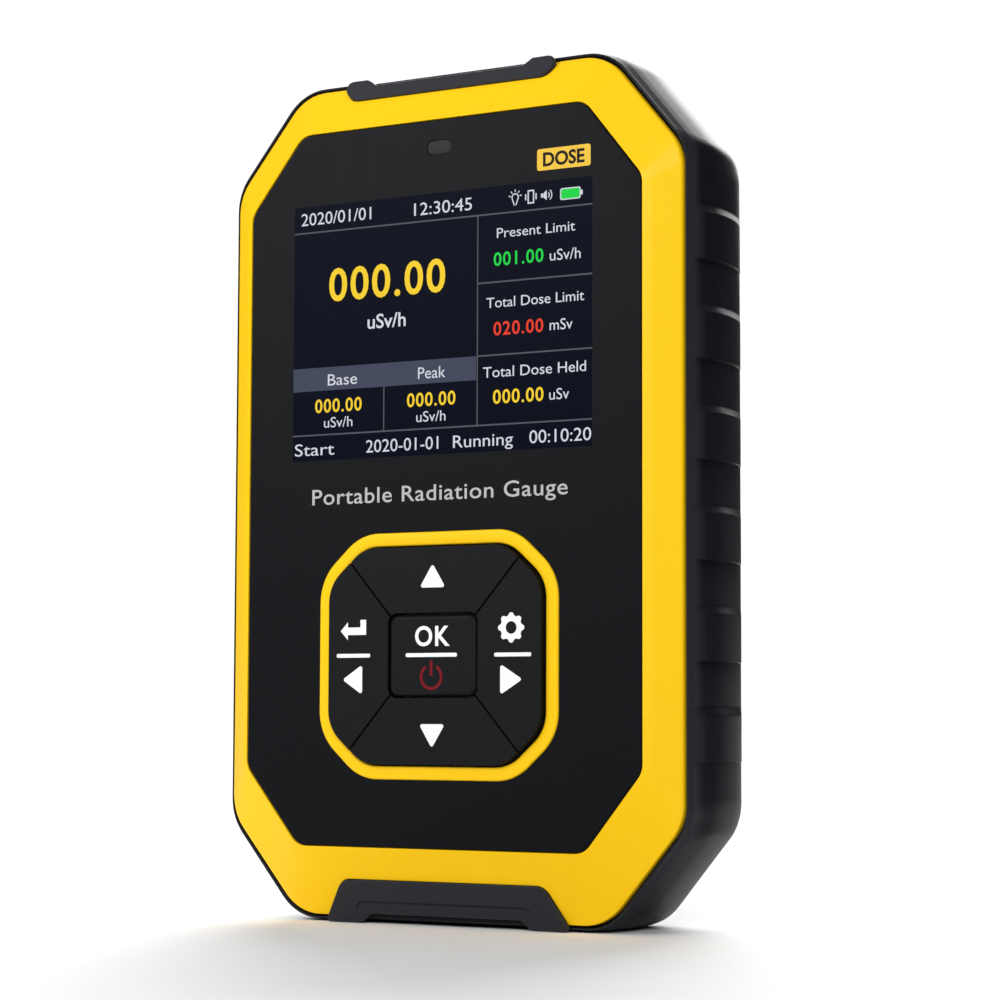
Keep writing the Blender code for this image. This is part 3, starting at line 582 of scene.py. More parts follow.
def repeat_tree(name):
    """A grid of copies of a part, with named inputs for the counts and the spacing."""
    tree = bpy.data.node_groups.new(name, "GeometryNodeTree")
    face = tree.interface
    face.new_socket("Part", in_out="INPUT", socket_type="NodeSocketObject")
    face.new_socket("Material", in_out="INPUT", socket_type="NodeSocketMaterial")
    across = face.new_socket("Across", in_out="INPUT", socket_type="NodeSocketInt")
    up = face.new_socket("Up", in_out="INPUT", socket_type="NodeSocketInt")
    across.default_value = up.default_value = 2
    for label in ("Pitch Across", "Pitch Up"):
        face.new_socket(label, in_out="INPUT", socket_type="NodeSocketFloat")
    face.new_socket("Middle", in_out="INPUT", socket_type="NodeSocketVector")
    face.new_socket("Geometry", in_out="OUTPUT", socket_type="NodeSocketGeometry")
    nodes, link = tree.nodes, tree.links.new
    given = nodes.new("NodeGroupInput")
    grid = nodes.new("GeometryNodeMeshGrid")
    turn = nodes.new("GeometryNodeTransform")
    turn.inputs["Rotation"].default_value = (math.pi / 2, 0, 0)
    part = nodes.new("GeometryNodeObjectInfo")
    copies = nodes.new("GeometryNodeInstanceOnPoints")
    real = nodes.new("GeometryNodeRealizeInstances")
    paint = nodes.new("GeometryNodeSetMaterial")
    result = nodes.new("NodeGroupOutput")
    for count, pitch, size, vertices in (
        ("Across", "Pitch Across", "Size X", "Vertices X"), ("Up", "Pitch Up", "Size Y", "Vertices Y"),
    ):
        gaps = nodes.new("ShaderNodeMath")
        gaps.operation = "SUBTRACT"
        gaps.inputs[1].default_value = 1.0
        length = nodes.new("ShaderNodeMath")
        length.operation = "MULTIPLY"
        link(given.outputs[count], gaps.inputs[0])
        link(gaps.outputs[0], length.inputs[0])
        link(given.outputs[pitch], length.inputs[1])
        link(length.outputs[0], grid.inputs[size])
        link(given.outputs[count], grid.inputs[vertices])
    link(given.outputs["Part"], part.inputs["Object"])
    link(given.outputs["Middle"], turn.inputs["Translation"])
    link(grid.outputs["Mesh"], turn.inputs["Geometry"])
    link(turn.outputs["Geometry"], copies.inputs["Points"])
    link(part.outputs["Geometry"], copies.inputs["Instance"])
    link(copies.outputs["Instances"], real.inputs["Geometry"])
    link(real.outputs["Geometry"], paint.inputs["Geometry"])
    link(given.outputs["Material"], paint.inputs["Material"])
    link(paint.outputs["Geometry"], result.inputs[0])
    return tree


def repeated(name, part, material, counts, pitches, middle):
    """Copies of a part, modelled about the origin, on an upright grid; the part is used up."""
    tree = bpy.data.node_groups.get("counter_repeat") or repeat_tree("counter_repeat")
    made = bpy.data.objects.new(name, bpy.data.meshes.new(name))
    bpy.context.scene.collection.objects.link(made)
    modifier = made.modifiers.new("repeat", "NODES")
    modifier.node_group = tree
    sockets = {item.name: item.identifier for item in tree.interface.items_tree if item.in_out == "INPUT"}
    values = {
        "Part": part, "Material": material, "Across": counts[0], "Up": counts[1],
        "Pitch Across": pitches[0] * MM, "Pitch Up": pitches[1] * MM, "Middle": Vector(middle) * MM,
    }
    for label, value in values.items():
        modifier[sockets[label]] = value
    bake(made)
    bpy.data.objects.remove(part, do_unlink=True)
    return made


# ---------------------------------------------------------------- case

def draw_in(y, axis):
    """How far the outside of the rear case has curved in at depth y; axis 0 is across, 1 is up."""
    start = ROUND_START[axis]
    if y <= start:
        return 0.0
    reach = min(1.0, (y - start) / (BACK_Y - start))
    return BACK_INSET[axis] * (1 - math.sqrt(1 - reach * reach))


def frame_ring(half, mid_z=MID_Z):
    """An octagon between the panel opening and the frame's outer edge, by its half width."""
    share = (half[0] - PANEL_HALF[0]) / (FRAME_HALF[0] - PANEL_HALF[0])
    cut = [a + (b - a) * share for a, b in zip(PANEL_CUT, FRAME_CUT)]
    return octagon(half, cut, 3.0 + 4.5 * max(0.0, share), mid_z)


def between(first, second, share):
    return tuple(a + (b - a) * share for a, b in zip(first, second))


def frame_rings():
    """Levels of the yellow frame from the panel's recess, over its slope, to the lip behind."""
    band_y = PANEL_Y + 0.6
    mids = {"panel": PANEL_Z, "band": PANEL_Z - 0.3, "edge": MID_Z}

    def slope(share):
        half = between(BAND_HALF, FRAME_HALF, share)
        mid = mids["band"] + (mids["edge"] - mids["band"]) * share
        return (band_y + (FRAME_EDGE_Y - band_y) * share, frame_ring(half, mid))

    def band(share):
        half = between(PANEL_HALF, BAND_HALF, share)
        mid = mids["panel"] + (mids["band"] - mids["panel"]) * share
        start = PANEL_Y - 0.05
        return (start + (band_y - start) * share, frame_ring(half, mid))

    return [
        (PLATE_FRONT_Y, frame_ring(PANEL_HALF, PANEL_Z)),
        (PANEL_Y + 0.12, frame_ring(PANEL_HALF, PANEL_Z)),
        (PANEL_Y, frame_ring(grown(PANEL_HALF, 0.05), PANEL_Z)),
        band(0.12), band(0.5), band(0.85), slope(0.0), slope(0.05), slope(0.12),
        slope(0.4), slope(0.7), slope(0.9), slope(0.95),
        (FRAME_EDGE_Y + 0.02, frame_ring(grown(FRAME_HALF, -0.08))),
        (FRAME_EDGE_Y + 0.25, frame_ring(FRAME_HALF)),
        (FRAME_BACK_Y - 0.05, frame_ring(FRAME_HALF)),
        (FRAME_BACK_Y, frame_ring(grown(FRAME_HALF, -0.05))),
        (FRAME_BACK_Y, frame_ring(LIP_OUT)), (FRAME_BACK_Y + 1.3, frame_ring(LIP_OUT)),
        (FRAME_BACK_Y + 1.3, frame_ring(LIP_IN)), (PLATE_BACK_Y, frame_ring(LIP_IN)),
    ]


def notch_outline(side, shrink, outer, round_in=2.2, round_out=0.05):
    """The trapezoid of an end notch; side is 1 at the top and -1 at the bottom."""
    floor = PANEL_Z + side * (NOTCH_FLOOR + shrink)
    far = MID_Z + side * outer
    edge = MID_Z + side * FRAME_HALF[1]
    near, outer_half = NOTCH_HALF[side]
    slope = (outer_half - near) / abs(edge - floor)
    wide = near + slope * abs(far - floor) - shrink
    near -= shrink
    corners = [(wide, far), (-wide, far), (-near, floor), (near, floor)]
    radii = [round_out, round_out, round_in, round_in]
    if side < 0:
        corners.reverse()
        radii.reverse()
    return rounded(corners, radii, 8)


def build_front_case():
    yellow = Palette.get("yellow")
    case = new_piece("front_case_shell", skin(frame_rings()), yellow, sharp=32)
    cuts = [(notch_outline(side, 0.0, MID_Z + 2), FRAME_EDGE_Y + 0.4) for side in (1, -1)]
    through = PLATE_BACK_Y + 1
    cuts += [
        (octagon(RING_IN, RING_IN_CUT, RING_IN_ROUND, KEYPAD_Z), through),
        (rectangle((25.2, 19.1), (0.0, LCD_Z)), through),
        (rectangle((2.3, 1.3), (PIPE_MID.x, PIPE_MID.z), 1.2), through),
    ]
    carve(case, [prism("tool", outline, (TOOL_FRONT_Y, deep)) for outline, deep in cuts])
    settle(case, HOUSING, "yellow_shell", "front_case")

    front = PANEL_Y - RING_PROUD
    lip = 0.28

    def ring_loop(grow):
        return octagon(grown(RING_OUT, grow), RING_CUT, RING_ROUND, KEYPAD_Z)

    def inner_loop(grow):
        return octagon(grown(RING_IN, grow), RING_IN_CUT, RING_IN_ROUND, KEYPAD_Z)

    turn = [(math.sin(a) * lip, math.cos(a) * lip) for a in [math.pi / 2 * i / 4 for i in range(5)]]
    rings = [(PLATE_FRONT_Y - 0.02, ring_loop(0.0))]
    rings += [(front + lip - depth, ring_loop(inset - lip)) for depth, inset in turn]
    rings += [(front + lip - depth, inner_loop(lip - inset)) for depth, inset in reversed(turn)]
    rings.append((PLATE_FRONT_Y - 0.02, inner_loop(0.0)))
    ring = new_piece("keypad_ring", skin(rings, closed=True), yellow)
    settle(ring, HOUSING, "yellow_shell", "front_case")


def grip(z):
    """1 where the side is sunk between the pads, 0 on the pads and past the grip, smooth between."""
    end_slope = 2.0
    if z > GRIP_TOP_Z or z < GRIP_BOTTOM_Z:
        past = max(z - GRIP_TOP_Z, GRIP_BOTTOM_Z - z)
        return max(0.0, 1 - past / end_slope)
    share = 1.0
    for index in range(PAD_COUNT):
        past = z - (PAD_FIRST_Z - index * PAD_PITCH)
        inside = PAD_LENGTH / 2 - abs(past)
        share = min(share, max(0.0, 1 - inside / pad_slope(past)))
        below = -past - PAD_LENGTH / 2
        if 0 <= below < UNDERCUT_LONG:
            share = 1 + UNDERCUT * (1 - below / UNDERCUT_LONG)
    return share


def pad_slope(above):
    """Length of a pad's sloped end: long at its upper end, steep at its lower one."""
    slope = bpy.context.scene.counter_sizes.pad_slope / MM
    return slope if above > 0 else slope * 0.12


def grip_stations():
    """Heights on a straight side at which the outline needs a point."""
    steps = (-0.12, 0.0, 0.1, 0.5, 0.9, 1.0, 1.12)
    found = []
    for index in range(PAD_COUNT):
        mid = PAD_FIRST_Z - index * PAD_PITCH
        found += [mid + PAD_LENGTH / 2 - pad_slope(1) * step for step in steps]
        found += [mid - PAD_LENGTH / 2 + pad_slope(-1) * step for step in steps]
        found += [mid, mid + PAD_PITCH / 2, mid - PAD_LENGTH / 2 - UNDERCUT_LONG]
    found.append(PAD_FIRST_Z - (PAD_COUNT - 0.5) * PAD_PITCH)
    return sorted(z for z in found if abs(z - MID_Z) < 38.0)


def depth_at(y, table):
    for (y0, d0), (y1, d1) in zip(table, table[1:]):
        if y <= y1:
            share = max(0.0, (y - y0) / (y1 - y0))
            return d0 + (d1 - d0) * share
    return table[-1][1]


def case_outline(half, cut, radius):
    """A rounded octagon about its middle, with points where the pads and the recesses need them."""
    arcs = rounded_arcs(octagon_corners(half, cut), [radius] * 8, FINE)
    side = [z - MID_Z for z in grip_stations()]
    points = arcs[0] + arcs[1] + [(x, half[1]) for x in reversed(END_STATIONS)]
    points += arcs[2] + arcs[3] + [(-half[0], z) for z in reversed(side)]
    points += arcs[4] + arcs[5] + [(x, -half[1]) for x in END_STATIONS]
    return points + arcs[6] + arcs[7] + [(half[0], z) for z in side]


def case_ring(y, inset=0.0, shaped=True):
    """One level of the rear case: the octagon with its grip pads and end recesses."""
    rim = depth_at(y, RIM_INSET)
    full = WIDTH / 2 - draw_in(y, 0) - inset
    half = (full - rim, MID_Z - draw_in(y, 1) - inset - max(0.0, rim - 0.8) / 4)
    shrink = full / (WIDTH / 2)
    cut = [c * shrink * (1 - 0.04 * rim) for c in CASE_CUT]
    points = case_outline(half, cut, (CASE_ROUND - inset / 2) * shrink)
    if shaped:
        sink = depth_at(y, GRIP_DEPTHS)
        recess = END_RECESS * max(0.0, min(1.0, (9.2 - y) / 1.2))
        points = [shaped_point(p, half, sink, recess) for p in points]
    return [(x, z + MID_Z) for x, z in points]


def shaped_point(point, half, sink, recess):
    x, z = point
    on_side = max(0.0, min(1.0, (abs(x) - half[0] + 4.0) / 2.0))
    x -= math.copysign(sink * grip(z + MID_Z) * on_side, x)
    if abs(z) > half[1] - 2.0:
        ramp = max(0.0, min(1.0, (15.0 - abs(x)) / 2.0))
        z -= math.copysign(recess * ramp, z)
    return (x, z)


def case_levels():
    """Depths of the rear case's outside, closer together where it turns to the back."""
    turn = [BACK_Y - (BACK_Y - 9.0) * (1 - math.sin(math.radians(a))) for a in range(0, 91, 9)]
    front = [-8.4, -8.1, -7.8, -7.3, -7.12, -7.05, -6.98, -6.7, -6.1, -5.5, -4.8, -4.0, -3.2, -2.3, -1.2]
    return front + [0.0, 1.0, 2.5, 4.0, 5.5, 6.8, 7.9, 8.4] + turn


def build_rear_case():
    black = Palette.get("case")
    rebate = grown(FRAME_HALF, GAP)
    rebate_y = FRAME_BACK_Y + GAP
    inner_back = BACK_Y - WALL

    def plain(half, level):
        return (level, [(x, z + MID_Z) for x, z in case_outline(half, FRAME_CUT, CAVITY_ROUND)])

    rings = [(inner_back, case_ring(inner_back, WALL + 1.3, False))]
    rings += [(y, case_ring(y, WALL + 0.7, False)) for y in (9.5, 6.5)]
    rings += [(y, case_ring(y, WALL + 0.2, False)) for y in (3.0, -1.5)]
    rings += [plain(CAVITY_HALF, rebate_y + 1.5), plain(CAVITY_HALF, rebate_y)]
    rings += [plain(rebate, rebate_y), plain(rebate, RIM_Y + 0.08)]
    rings.append(plain(grown(rebate, 0.06), RIM_Y))
    for depth, inset in ((0.0, 0.08), (0.03, 0.02), (0.09, 0.0)):
        rings.append((RIM_Y + depth, case_ring(RIM_Y + depth, inset)))
    rings += [(y, case_ring(y)) for y in case_levels()]
    case = new_piece("rear_case_shell", skin(rings), black, sharp=40)
    pitch = (SCREW_MIDS[1].x - SCREW_MIDS[0].x, SCREW_MIDS[0].z - SCREW_MIDS[2].z)
    boss = prism("part", circle(BOSS_R, (0, 0)), (BOSS_FRONT_Y, inner_back + 0.4))
    carve(case, [repeated("tool", boss, None, (2, 2), pitch, (0, 0, MID_Z))], "UNION")
    carve(case, case_tools(pitch))
    settle(case, HOUSING, "black_shell", "rear_case")


def case_tools(pitch):
    """Cutters for the port, the screw wells, the sound slots and the label's seat."""
    sizes = bpy.context.scene.counter_sizes
    port = (4.87, 2.03)
    mouth = [(-2.0, 0.5), (0.75, 0.5), (1.35, 0.0), (4.0, 0.0)]
    middle = (0.0, PORT_MID.y)
    rings = [(z, rectangle(grown(port, grow), middle, 1.3 + grow, 6)) for z, grow in mouth]
    tools = [new_piece("tool", skin(rings, along_z))]
    profile = [
        (-3.0, PILOT_R), (SCREW_SEAT_Y, PILOT_R), (SCREW_SEAT_Y, WELL_R), (BACK_Y - 0.5, WELL_R),
        (BACK_Y + 0.1, WELL_R + 0.6), (BACK_Y + 1, WELL_R + 0.6),
    ]
    rings = [(y, circle(radius, (0, 0))) for y, radius in profile]
    wells = new_piece("tool", skin(rings))
    tools.append(repeated("tool", wells, None, (2, 2), pitch, (0, 0, MID_Z)))
    slot = rectangle((6.0, 0.7), (0, 0), 0.68, 6)
    wide = rectangle((6.25, 0.95), (0, 0), 0.93, 6)
    rings = [(BACK_Y - 5, slot), (BACK_Y - 0.3, slot), (BACK_Y + 0.05, wide), (BACK_Y + 1, wide)]
    slots = new_piece("tool", skin(rings))
    middle = (SLOT_MID_X, 0, MID_Z)
    tools.append(repeated("tool", slots, None, (1, sizes.slot_count), (0, sizes.slot_pitch / MM), middle))
    seat = rectangle((17.3, 12.3), (LABEL_MID.x, LABEL_MID.z), 1.3)
    tools.append(prism("tool", seat, (LABEL_LOW.y - 0.3, BACK_Y + 1)))
    return tools


def build_trims():
    """The soft end inserts, each with a sloped front and a shallow relief at its outer edge."""
    for name, side in (("top_trim", 1), ("bottom_trim", -1)):
        build_trim(name, side)


def build_trim(name, side):
    back = span(name)[1].y
    front = TRIM_FRONT_Y[side]
    floor = PANEL_Z + side * NOTCH_FLOOR
    end = MID_Z + side * MID_Z
    outline = notch_outline(side, 0.12, MID_Z - 0.02, 2.4, TRIM_CORNER[side])
    trim = prism(f"{name}_insert", outline, (TOOL_FRONT_Y, back), Palette.get("trim"))
    overrun = (front[1] - front[0]) / abs(end - floor)
    slope = [
        (-16.0, floor - side), (front[0] - overrun, floor - side),
        (front[1] + overrun, end + side), (-16.0, end + side),
    ]
    wide, narrow = END_RECESS_HALF + 2.1, END_RECESS_HALF - 0.8
    edge = MID_Z + side * (MID_Z + 1)
    shelf = MID_Z + side * (MID_Z - TRIM_RELIEF[side])
    relief = [(wide, edge), (-wide, edge), (-narrow, shelf), (narrow, shelf)]
    radii = [0.05, 0.05, 0.8, 0.8]
    if side < 0:
        for outline in (slope, relief, radii):
            outline.reverse()
    relief = rounded(relief, radii, 5)
    tools = [prism("tool", slope, (-30.0, 30.0), place=along_x), prism("tool", relief, (-16.0, 0.0))]
    carve(trim, tools)
    if side < 0:
        carve(trim, [trim_groove(front, floor)])
    soften(trim, TRIM_SOFTEN[side], 3, 28)
    settle(trim, HOUSING, "soft_black", name)


def trim_groove(front, floor):
    """A cutter for the fine groove that frames the lower band of the bottom insert."""
    top = PANEL_Z - 58.4
    base = -1.0
    share = (floor - top) / floor
    depth = front[0] + (front[1] - front[0]) * share + 0.38
    loops = []
    for grow in (0.0, 0.42):
        near, wide = 13.9 - grow, 15.8 - grow
        corners = [(near, top - grow), (-near, top - grow), (-wide, base - 1), (wide, base - 1)]
        loops.append(rounded(corners, [1.1, 1.1, 0.05, 0.05], 6))
    rings = [(-16.0, loops[0]), (depth, loops[0]), (depth, loops[1]), (-16.0, loops[1])]
    return new_piece("tool", skin(rings, closed=True))


# ---------------------------------------------------------------- panel and display

def build_panel():
    half = grown(PANEL_HALF, -0.12)
    outline = octagon(half, PANEL_CUT, 2.9, PANEL_Z)
    small = octagon(grown(half, -0.1), PANEL_CUT, 2.9, PANEL_Z)
    rings = [(PANEL_HIGH.y, outline), (PANEL_Y + 0.1, outline), (PANEL_Y, small)]
    panel = new_piece("front_panel_sheet", skin(rings), Palette.get("panel"))
    tools = [
        prism("tool", octagon(grown(RING_OUT, 0.05), RING_CUT, RING_ROUND, KEYPAD_Z), (TOOL_FRONT_Y, -10.0)),
        prism("tool", rectangle((2.04, 1.04), (PIPE_MID.x, PIPE_MID.z), 1.0), (TOOL_FRONT_Y, -10.0)),
        prism("tool", rectangle(LCD_HALF, (0.0, LCD_Z)), (TOOL_FRONT_Y, -10.0)),
    ]
    carve(panel, tools)
    settle(panel, HOUSING, "panel_black", "front_panel")
    opening = rectangle(grown(LCD_HALF, -0.01), (0.0, LCD_Z))
    window = prism("display_window", opening, (PANEL_Y, PANEL_HIGH.y), Palette.get("window"))
    settle(window, HOUSING, "display", "front_panel")
    oval = [(PANEL_Y + 1.0, 2.0), (PANEL_Y + 0.15, 2.0), (PANEL_Y + 0.05, 1.94), (PANEL_Y + 0.02, 1.8)]
    rings = [(y, rectangle((r, r - 1.0), (PIPE_MID.x, PIPE_MID.z), r - 1.02, 8)) for y, r in oval]
    rings.insert(0, (span("alarm_light_pipe")[1].y, rings[0][1]))
    pipe = new_piece("light_pipe_oval", skin(rings), Palette.get("pipe"))
    settle(pipe, HOUSING, "smoked_clear", "alarm_light_pipe")


def lettering(name, words, material, level, thick=0.0, spread=1.0):
    """Text as one mesh; each word has its text, left, right, baseline and capital height."""
    bm = bmesh.new()
    cap_height = capital_height()
    for text, left, right, base, cap in words:
        mesh = text_mesh(text, thick, spread)
        xs = [v.co.x for v in mesh.vertices]
        low, high = min(xs), max(xs)
        stretch = (right - left) / (high - low)
        lift = cap / cap_height
        for vertex in mesh.vertices:
            x, y, z = vertex.co
            depth = level + (PRINT_DEEP if z < 0 else -PRINT_HIGH)
            vertex.co = (left + (x - low) * stretch, depth, base + y * lift)
        bm.from_mesh(mesh)
        bpy.data.meshes.remove(mesh)
    return new_piece(name, bm, material, merge=0.0001)


def text_mesh(text, thick, spread=1.0):
    curve = bpy.data.curves.new("word", "FONT")
    curve.body = text
    curve.size = 1.0
    curve.offset = thick
    curve.space_character = spread
    curve.extrude = 0.01
    curve.resolution_u = 4
    holder = bpy.data.objects.new("word", curve)
    bpy.context.scene.collection.objects.link(holder)
    graph = bpy.context.evaluated_depsgraph_get()
    mesh = bpy.data.meshes.new_from_object(holder.evaluated_get(graph))
    bpy.data.objects.remove(holder, do_unlink=True)
    return mesh


def capital_height():
    """Height of a plain capital in the typeface's own units."""
    mesh = text_mesh("H", 0.0)
    height = max(v.co.y for v in mesh.vertices)
    bpy.data.meshes.remove(mesh)
    return height


def on_display(words):
    return [(text, left, right, base + LCD_Z, cap) for text, left, right, base, cap in words]


def build_display():
    level = PANEL_Y
    plain = on_display([
        ("2020/01/01", -23.3, -11.3, 15.65, 1.75), ("12:30:45", -4.1, 5.4, 15.45, 1.75),
        ("Present Limit", 9.45, 21.8, 11.15, 1.35), ("Total Dose Limit", 7.8, 23.2, 1.5, 1.4),
        ("Total Dose Held", 7.3, 23.5, -8.15, 1.45), ("Base", -18.5, -13.5, -7.7, 1.6),
        ("Peak", -3.3, 1.2, -7.65, 1.6), ("Start", -24.1, -17.3, -17.6, 1.7),
        ("2020-01-01", -11.9, 0.1, -17.6, 1.75), ("Running", 2.5, 12.1, -17.6, 1.7),
        ("00:10:20", 14.7, 24.3, -17.55, 1.75), ("uSv/h", 17.85, 22.65, 7.3, 1.5),
        ("mSv", 17.85, 21.4, -2.25, 1.5), ("uSv", 17.8, 20.9, -11.75, 1.5),
        ("uSv/h", -19.1, -14.25, -13.7, 1.45), ("uSv/h", -3.55, 1.25, -13.7, 1.45),
    ])
    unit = on_display([("uSv/h", -11.8, -5.4, 0.0, 1.95)])
    settle(lettering("display_words", plain, Palette.get("lit_white"), level), HOUSING, "display")
    settle(lettering("display_unit", unit, Palette.get("lit_white"), level, 0.012), HOUSING, "display")
    figures = {
        "display_rate": ("lit_yellow", [("000.00", -18.4, 1.1, 4.45, 4.5)], 0.016),
        "display_means": (
            "lit_yellow",
            [("000.00", -20.65, -12.7, -11.5, 1.85), ("000.00", -5.1, 2.85, -11.5, 1.85),
             ("000.00", 8.9, 16.9, -11.8, 1.85)], 0.014),
        "display_limit": ("lit_green", [("001.00", 8.95, 16.85, 7.3, 1.8)], 0.014),
        "display_total": ("lit_red", [("020.00", 8.95, 16.85, -2.35, 1.8)], 0.014),
    }
    for name, (ink, words, thick) in figures.items():
        made = lettering(name, on_display(words), Palette.get(ink), level, thick, 1.12)
        settle(made, HOUSING, "display")
    build_display_rules(level)
    build_status_icons(level)


def bar(left, right, low, high):
    mid = ((left + right) / 2, (low + high) / 2 + LCD_Z)
    return rectangle(((right - left) / 2, (high - low) / 2), mid)


def build_display_rules(level):
    """The thin lines between the fields, and the tinted band above the two means."""
    half = 0.11
    left, right = -LCD_HALF[0], LCD_HALF[0]
    flat = [(14.55, left, right), (5.04, 6.45, right), (-5.08, 6.45, right), (-14.7, left, right)]
    rules = [bar(x0, x1, z - half, z + half) for z, x0, x1 in flat]
    rules += [bar(6.28, 6.46, -14.6, 14.45), bar(-9.06, -8.88, -14.6, -8.4)]
    levels = (level - 0.008, level + 0.008)
    settle(plate("display_rules", rules, levels, Palette.get("lit_line")), HOUSING, "display")
    band = [bar(left, 6.2, -8.38, -5.05)]
    levels = (level - 0.005, level + 0.008)
    settle(plate("display_band", band, levels, Palette.get("lit_band")), HOUSING, "display")


def stroke(points, width):
    """A thin straight stroke between two points as an outline."""
    a, b = (Vector(p) for p in points)
    side = (b - a).normalized().orthogonal() * width / 2
    return [tuple(a - side), tuple(b - side), tuple(b + side), tuple(a + side)]


def arc_band(mid, radius, width, start, sweep, steps=16):
    angles = [math.radians(start + sweep * i / steps) for i in range(steps + 1)]
    far, near = radius + width / 2, radius - width / 2
    outer = [(mid[0] + far * math.cos(a), mid[1] + far * math.sin(a)) for a in angles]
    inner = [(mid[0] + near * math.cos(a), mid[1] + near * math.sin(a)) for a in reversed(angles)]
    return outer + inner


def frame_bars(half, mid, width):
    """The four sides of a small box outline; the upright ones stop just short of the others."""
    (hw, hh), (mx, mz) = half, mid
    upright = (width / 2, hh - width / 2 - 0.002)
    return [
        rectangle((hw, width / 2), (mx, mz + hh)), rectangle((hw, width / 2), (mx, mz - hh)),
        rectangle(upright, (mx - hw + width / 2, mz)), rectangle(upright, (mx + hw - width / 2, mz)),
    ]


def build_status_icons(level):
    """Lamp, vibration, sound and battery signs along the top of the display."""
    z = LCD_Z + 16.4
    lamp = 12.35
    shapes = [
        arc_band((lamp, z + 0.15), 0.5, 0.17, -40, 260),
        stroke([(lamp - 0.4, z - 0.2), (lamp - 0.12, z - 0.95)], 0.17),
        stroke([(lamp + 0.4, z - 0.2), (lamp + 0.12, z - 0.95)], 0.17),
    ]
    for angle in (10, 50, 90, 130, 170):
        way = Vector((math.cos(math.radians(angle)), math.sin(math.radians(angle))))
        centre = Vector((lamp, z + 0.2))
        shapes.append(stroke([centre + way * 0.72, centre + way * 1.05], 0.15))
    buzz = 14.85
    shapes += frame_bars((0.52, 0.85), (buzz, z), 0.2)
    shapes += [rectangle((0.1, 0.42), (buzz + side * 0.82, z)) for side in (-1, 1)]
    sound = 17.3
    horn = [(0.05, 0.7), (-0.45, 0.3), (-0.45, -0.3), (0.05, -0.7)]
    shapes.append([(sound + across, z + up) for across, up in horn])
    shapes.append(rectangle((0.18, 0.28), (sound - 0.68, z)))
    shapes += [arc_band((sound, z), radius, 0.15, -50, 100, 10) for radius in (0.45, 0.85)]
    levels = (level - 0.01, level + 0.008)
    cell = (21.05, z - 0.1)
    shapes.append(rectangle((0.16, 0.32), (cell[0] + 1.75, cell[1])))
    settle(plate("display_signs", shapes, levels, Palette.get("lit_white")), HOUSING, "display")
    rim = rectangle((1.6, 0.82), cell, 0.3, 4)
    fill = rectangle((1.44, 0.66), cell, 0.2, 4)
    rings = [(level + 0.008, rim), (level - 0.008, rim), (level - 0.008, fill), (level + 0.008, fill)]
    edge = new_piece("battery_sign_edge", skin(rings, closed=True), Palette.get("lit_white"))
    settle(edge, HOUSING, "display")
    levels = (level - 0.012, level + 0.008)
    settle(plate("battery_sign_fill", [fill], levels, Palette.get("lit_green")), HOUSING, "display")


def build_panel_print():
    """The title line under the display and the small plate above it, in neutral words."""
    level = PANEL_Y
    title = [("Portable Radiation Gauge", -21.0, 20.7, LCD_Z - 24.7, 2.15)]
    made = lettering("panel_title", title, Palette.get("grey_ink"), level, 0.006, 1.06)
    settle(made, HOUSING, "panel_black")
    middle = (20.0, PANEL_Z + 43.35)
    patch = [rectangle((4.18, 1.5), middle, 0.35, 4)]
    badge = plate("panel_badge", patch, (level - 0.006, level + 0.01), Palette.get("badge"))
    settle(badge, HOUSING, "panel_black")
    words = [("DOSE", 16.75, 23.25, middle[1] - 0.9, 1.8)]
    made = lettering("badge_word", words, Palette.get("dark_ink"), level - 0.004, 0.03)
    settle(made, HOUSING, "panel_black")


# ---------------------------------------------------------------- keypad

def clipped(outline, point, normal):
    """The part of a convex outline on the side of a line that its normal points to."""
    kept = []
    for here, after in zip(outline, outline[1:] + outline[:1]):
        a = (here[0] - point[0]) * normal[0] + (here[1] - point[1]) * normal[1]
        b = (after[0] - point[0]) * normal[0] + (after[1] - point[1]) * normal[1]
        if a >= 0:
            kept.append(here)
        if (a > 0 > b) or (a < 0 < b):
            share = a / (a - b)
            kept.append(tuple(p + (q - p) * share for p, q in zip(here, after)))
    return kept


def outer_key_outline(direction, gap):
    """One of the four keys round the OK key: the ring's inside between two diagonals."""
    outline = octagon(grown(RING_IN, -gap), RING_IN_CUT, RING_IN_ROUND - gap, 0.0, 8)
    across = Vector(direction)
    along = Vector((across.y, -across.x))
    wide, tall = (OK_HALF[1], OK_HALF[0]) if across.x else OK_HALF
    turn = OK_ROUND + gap / 2
    centre = (wide - OK_ROUND, tall - OK_ROUND)
    foot = centre[1] + turn * math.sqrt(0.5)
    outline = clipped(outline, across * foot, across)
    far = Vector((14.1, 13.6))
    for sign in (-1, 1):
        way = across + along * sign
        start = Vector((OK_HALF[0] * way.x, OK_HALF[1] * way.y))
        end = Vector((far.x * way.x, far.y * way.y))
        line = (end - start).normalized()
        normal = Vector((-line.y, line.x))
        if normal.dot(across) < 0:
            normal = -normal
        outline = clipped(outline, start + normal * gap / 2, normal)
    path = []
    for sign in (-1, 1):
        for angle in (34, 25, 16, 8, 0)[::-sign]:
            lean = math.radians(angle)
            path.append(along * sign * (centre[0] + turn * math.sin(lean))
                        + across * (centre[1] + turn * math.cos(lean)))
    low = [i for i, p in enumerate(outline) if abs(Vector(p).dot(across) - foot) < 1e-4]
    first = min(low, key=lambda i: Vector(outline[i]).dot(along))
    outline = outline[:first + 1] + [tuple(p) for p in path] + outline[first + 1:]
    return [(x, z + KEYPAD_Z) for x, z in outline]


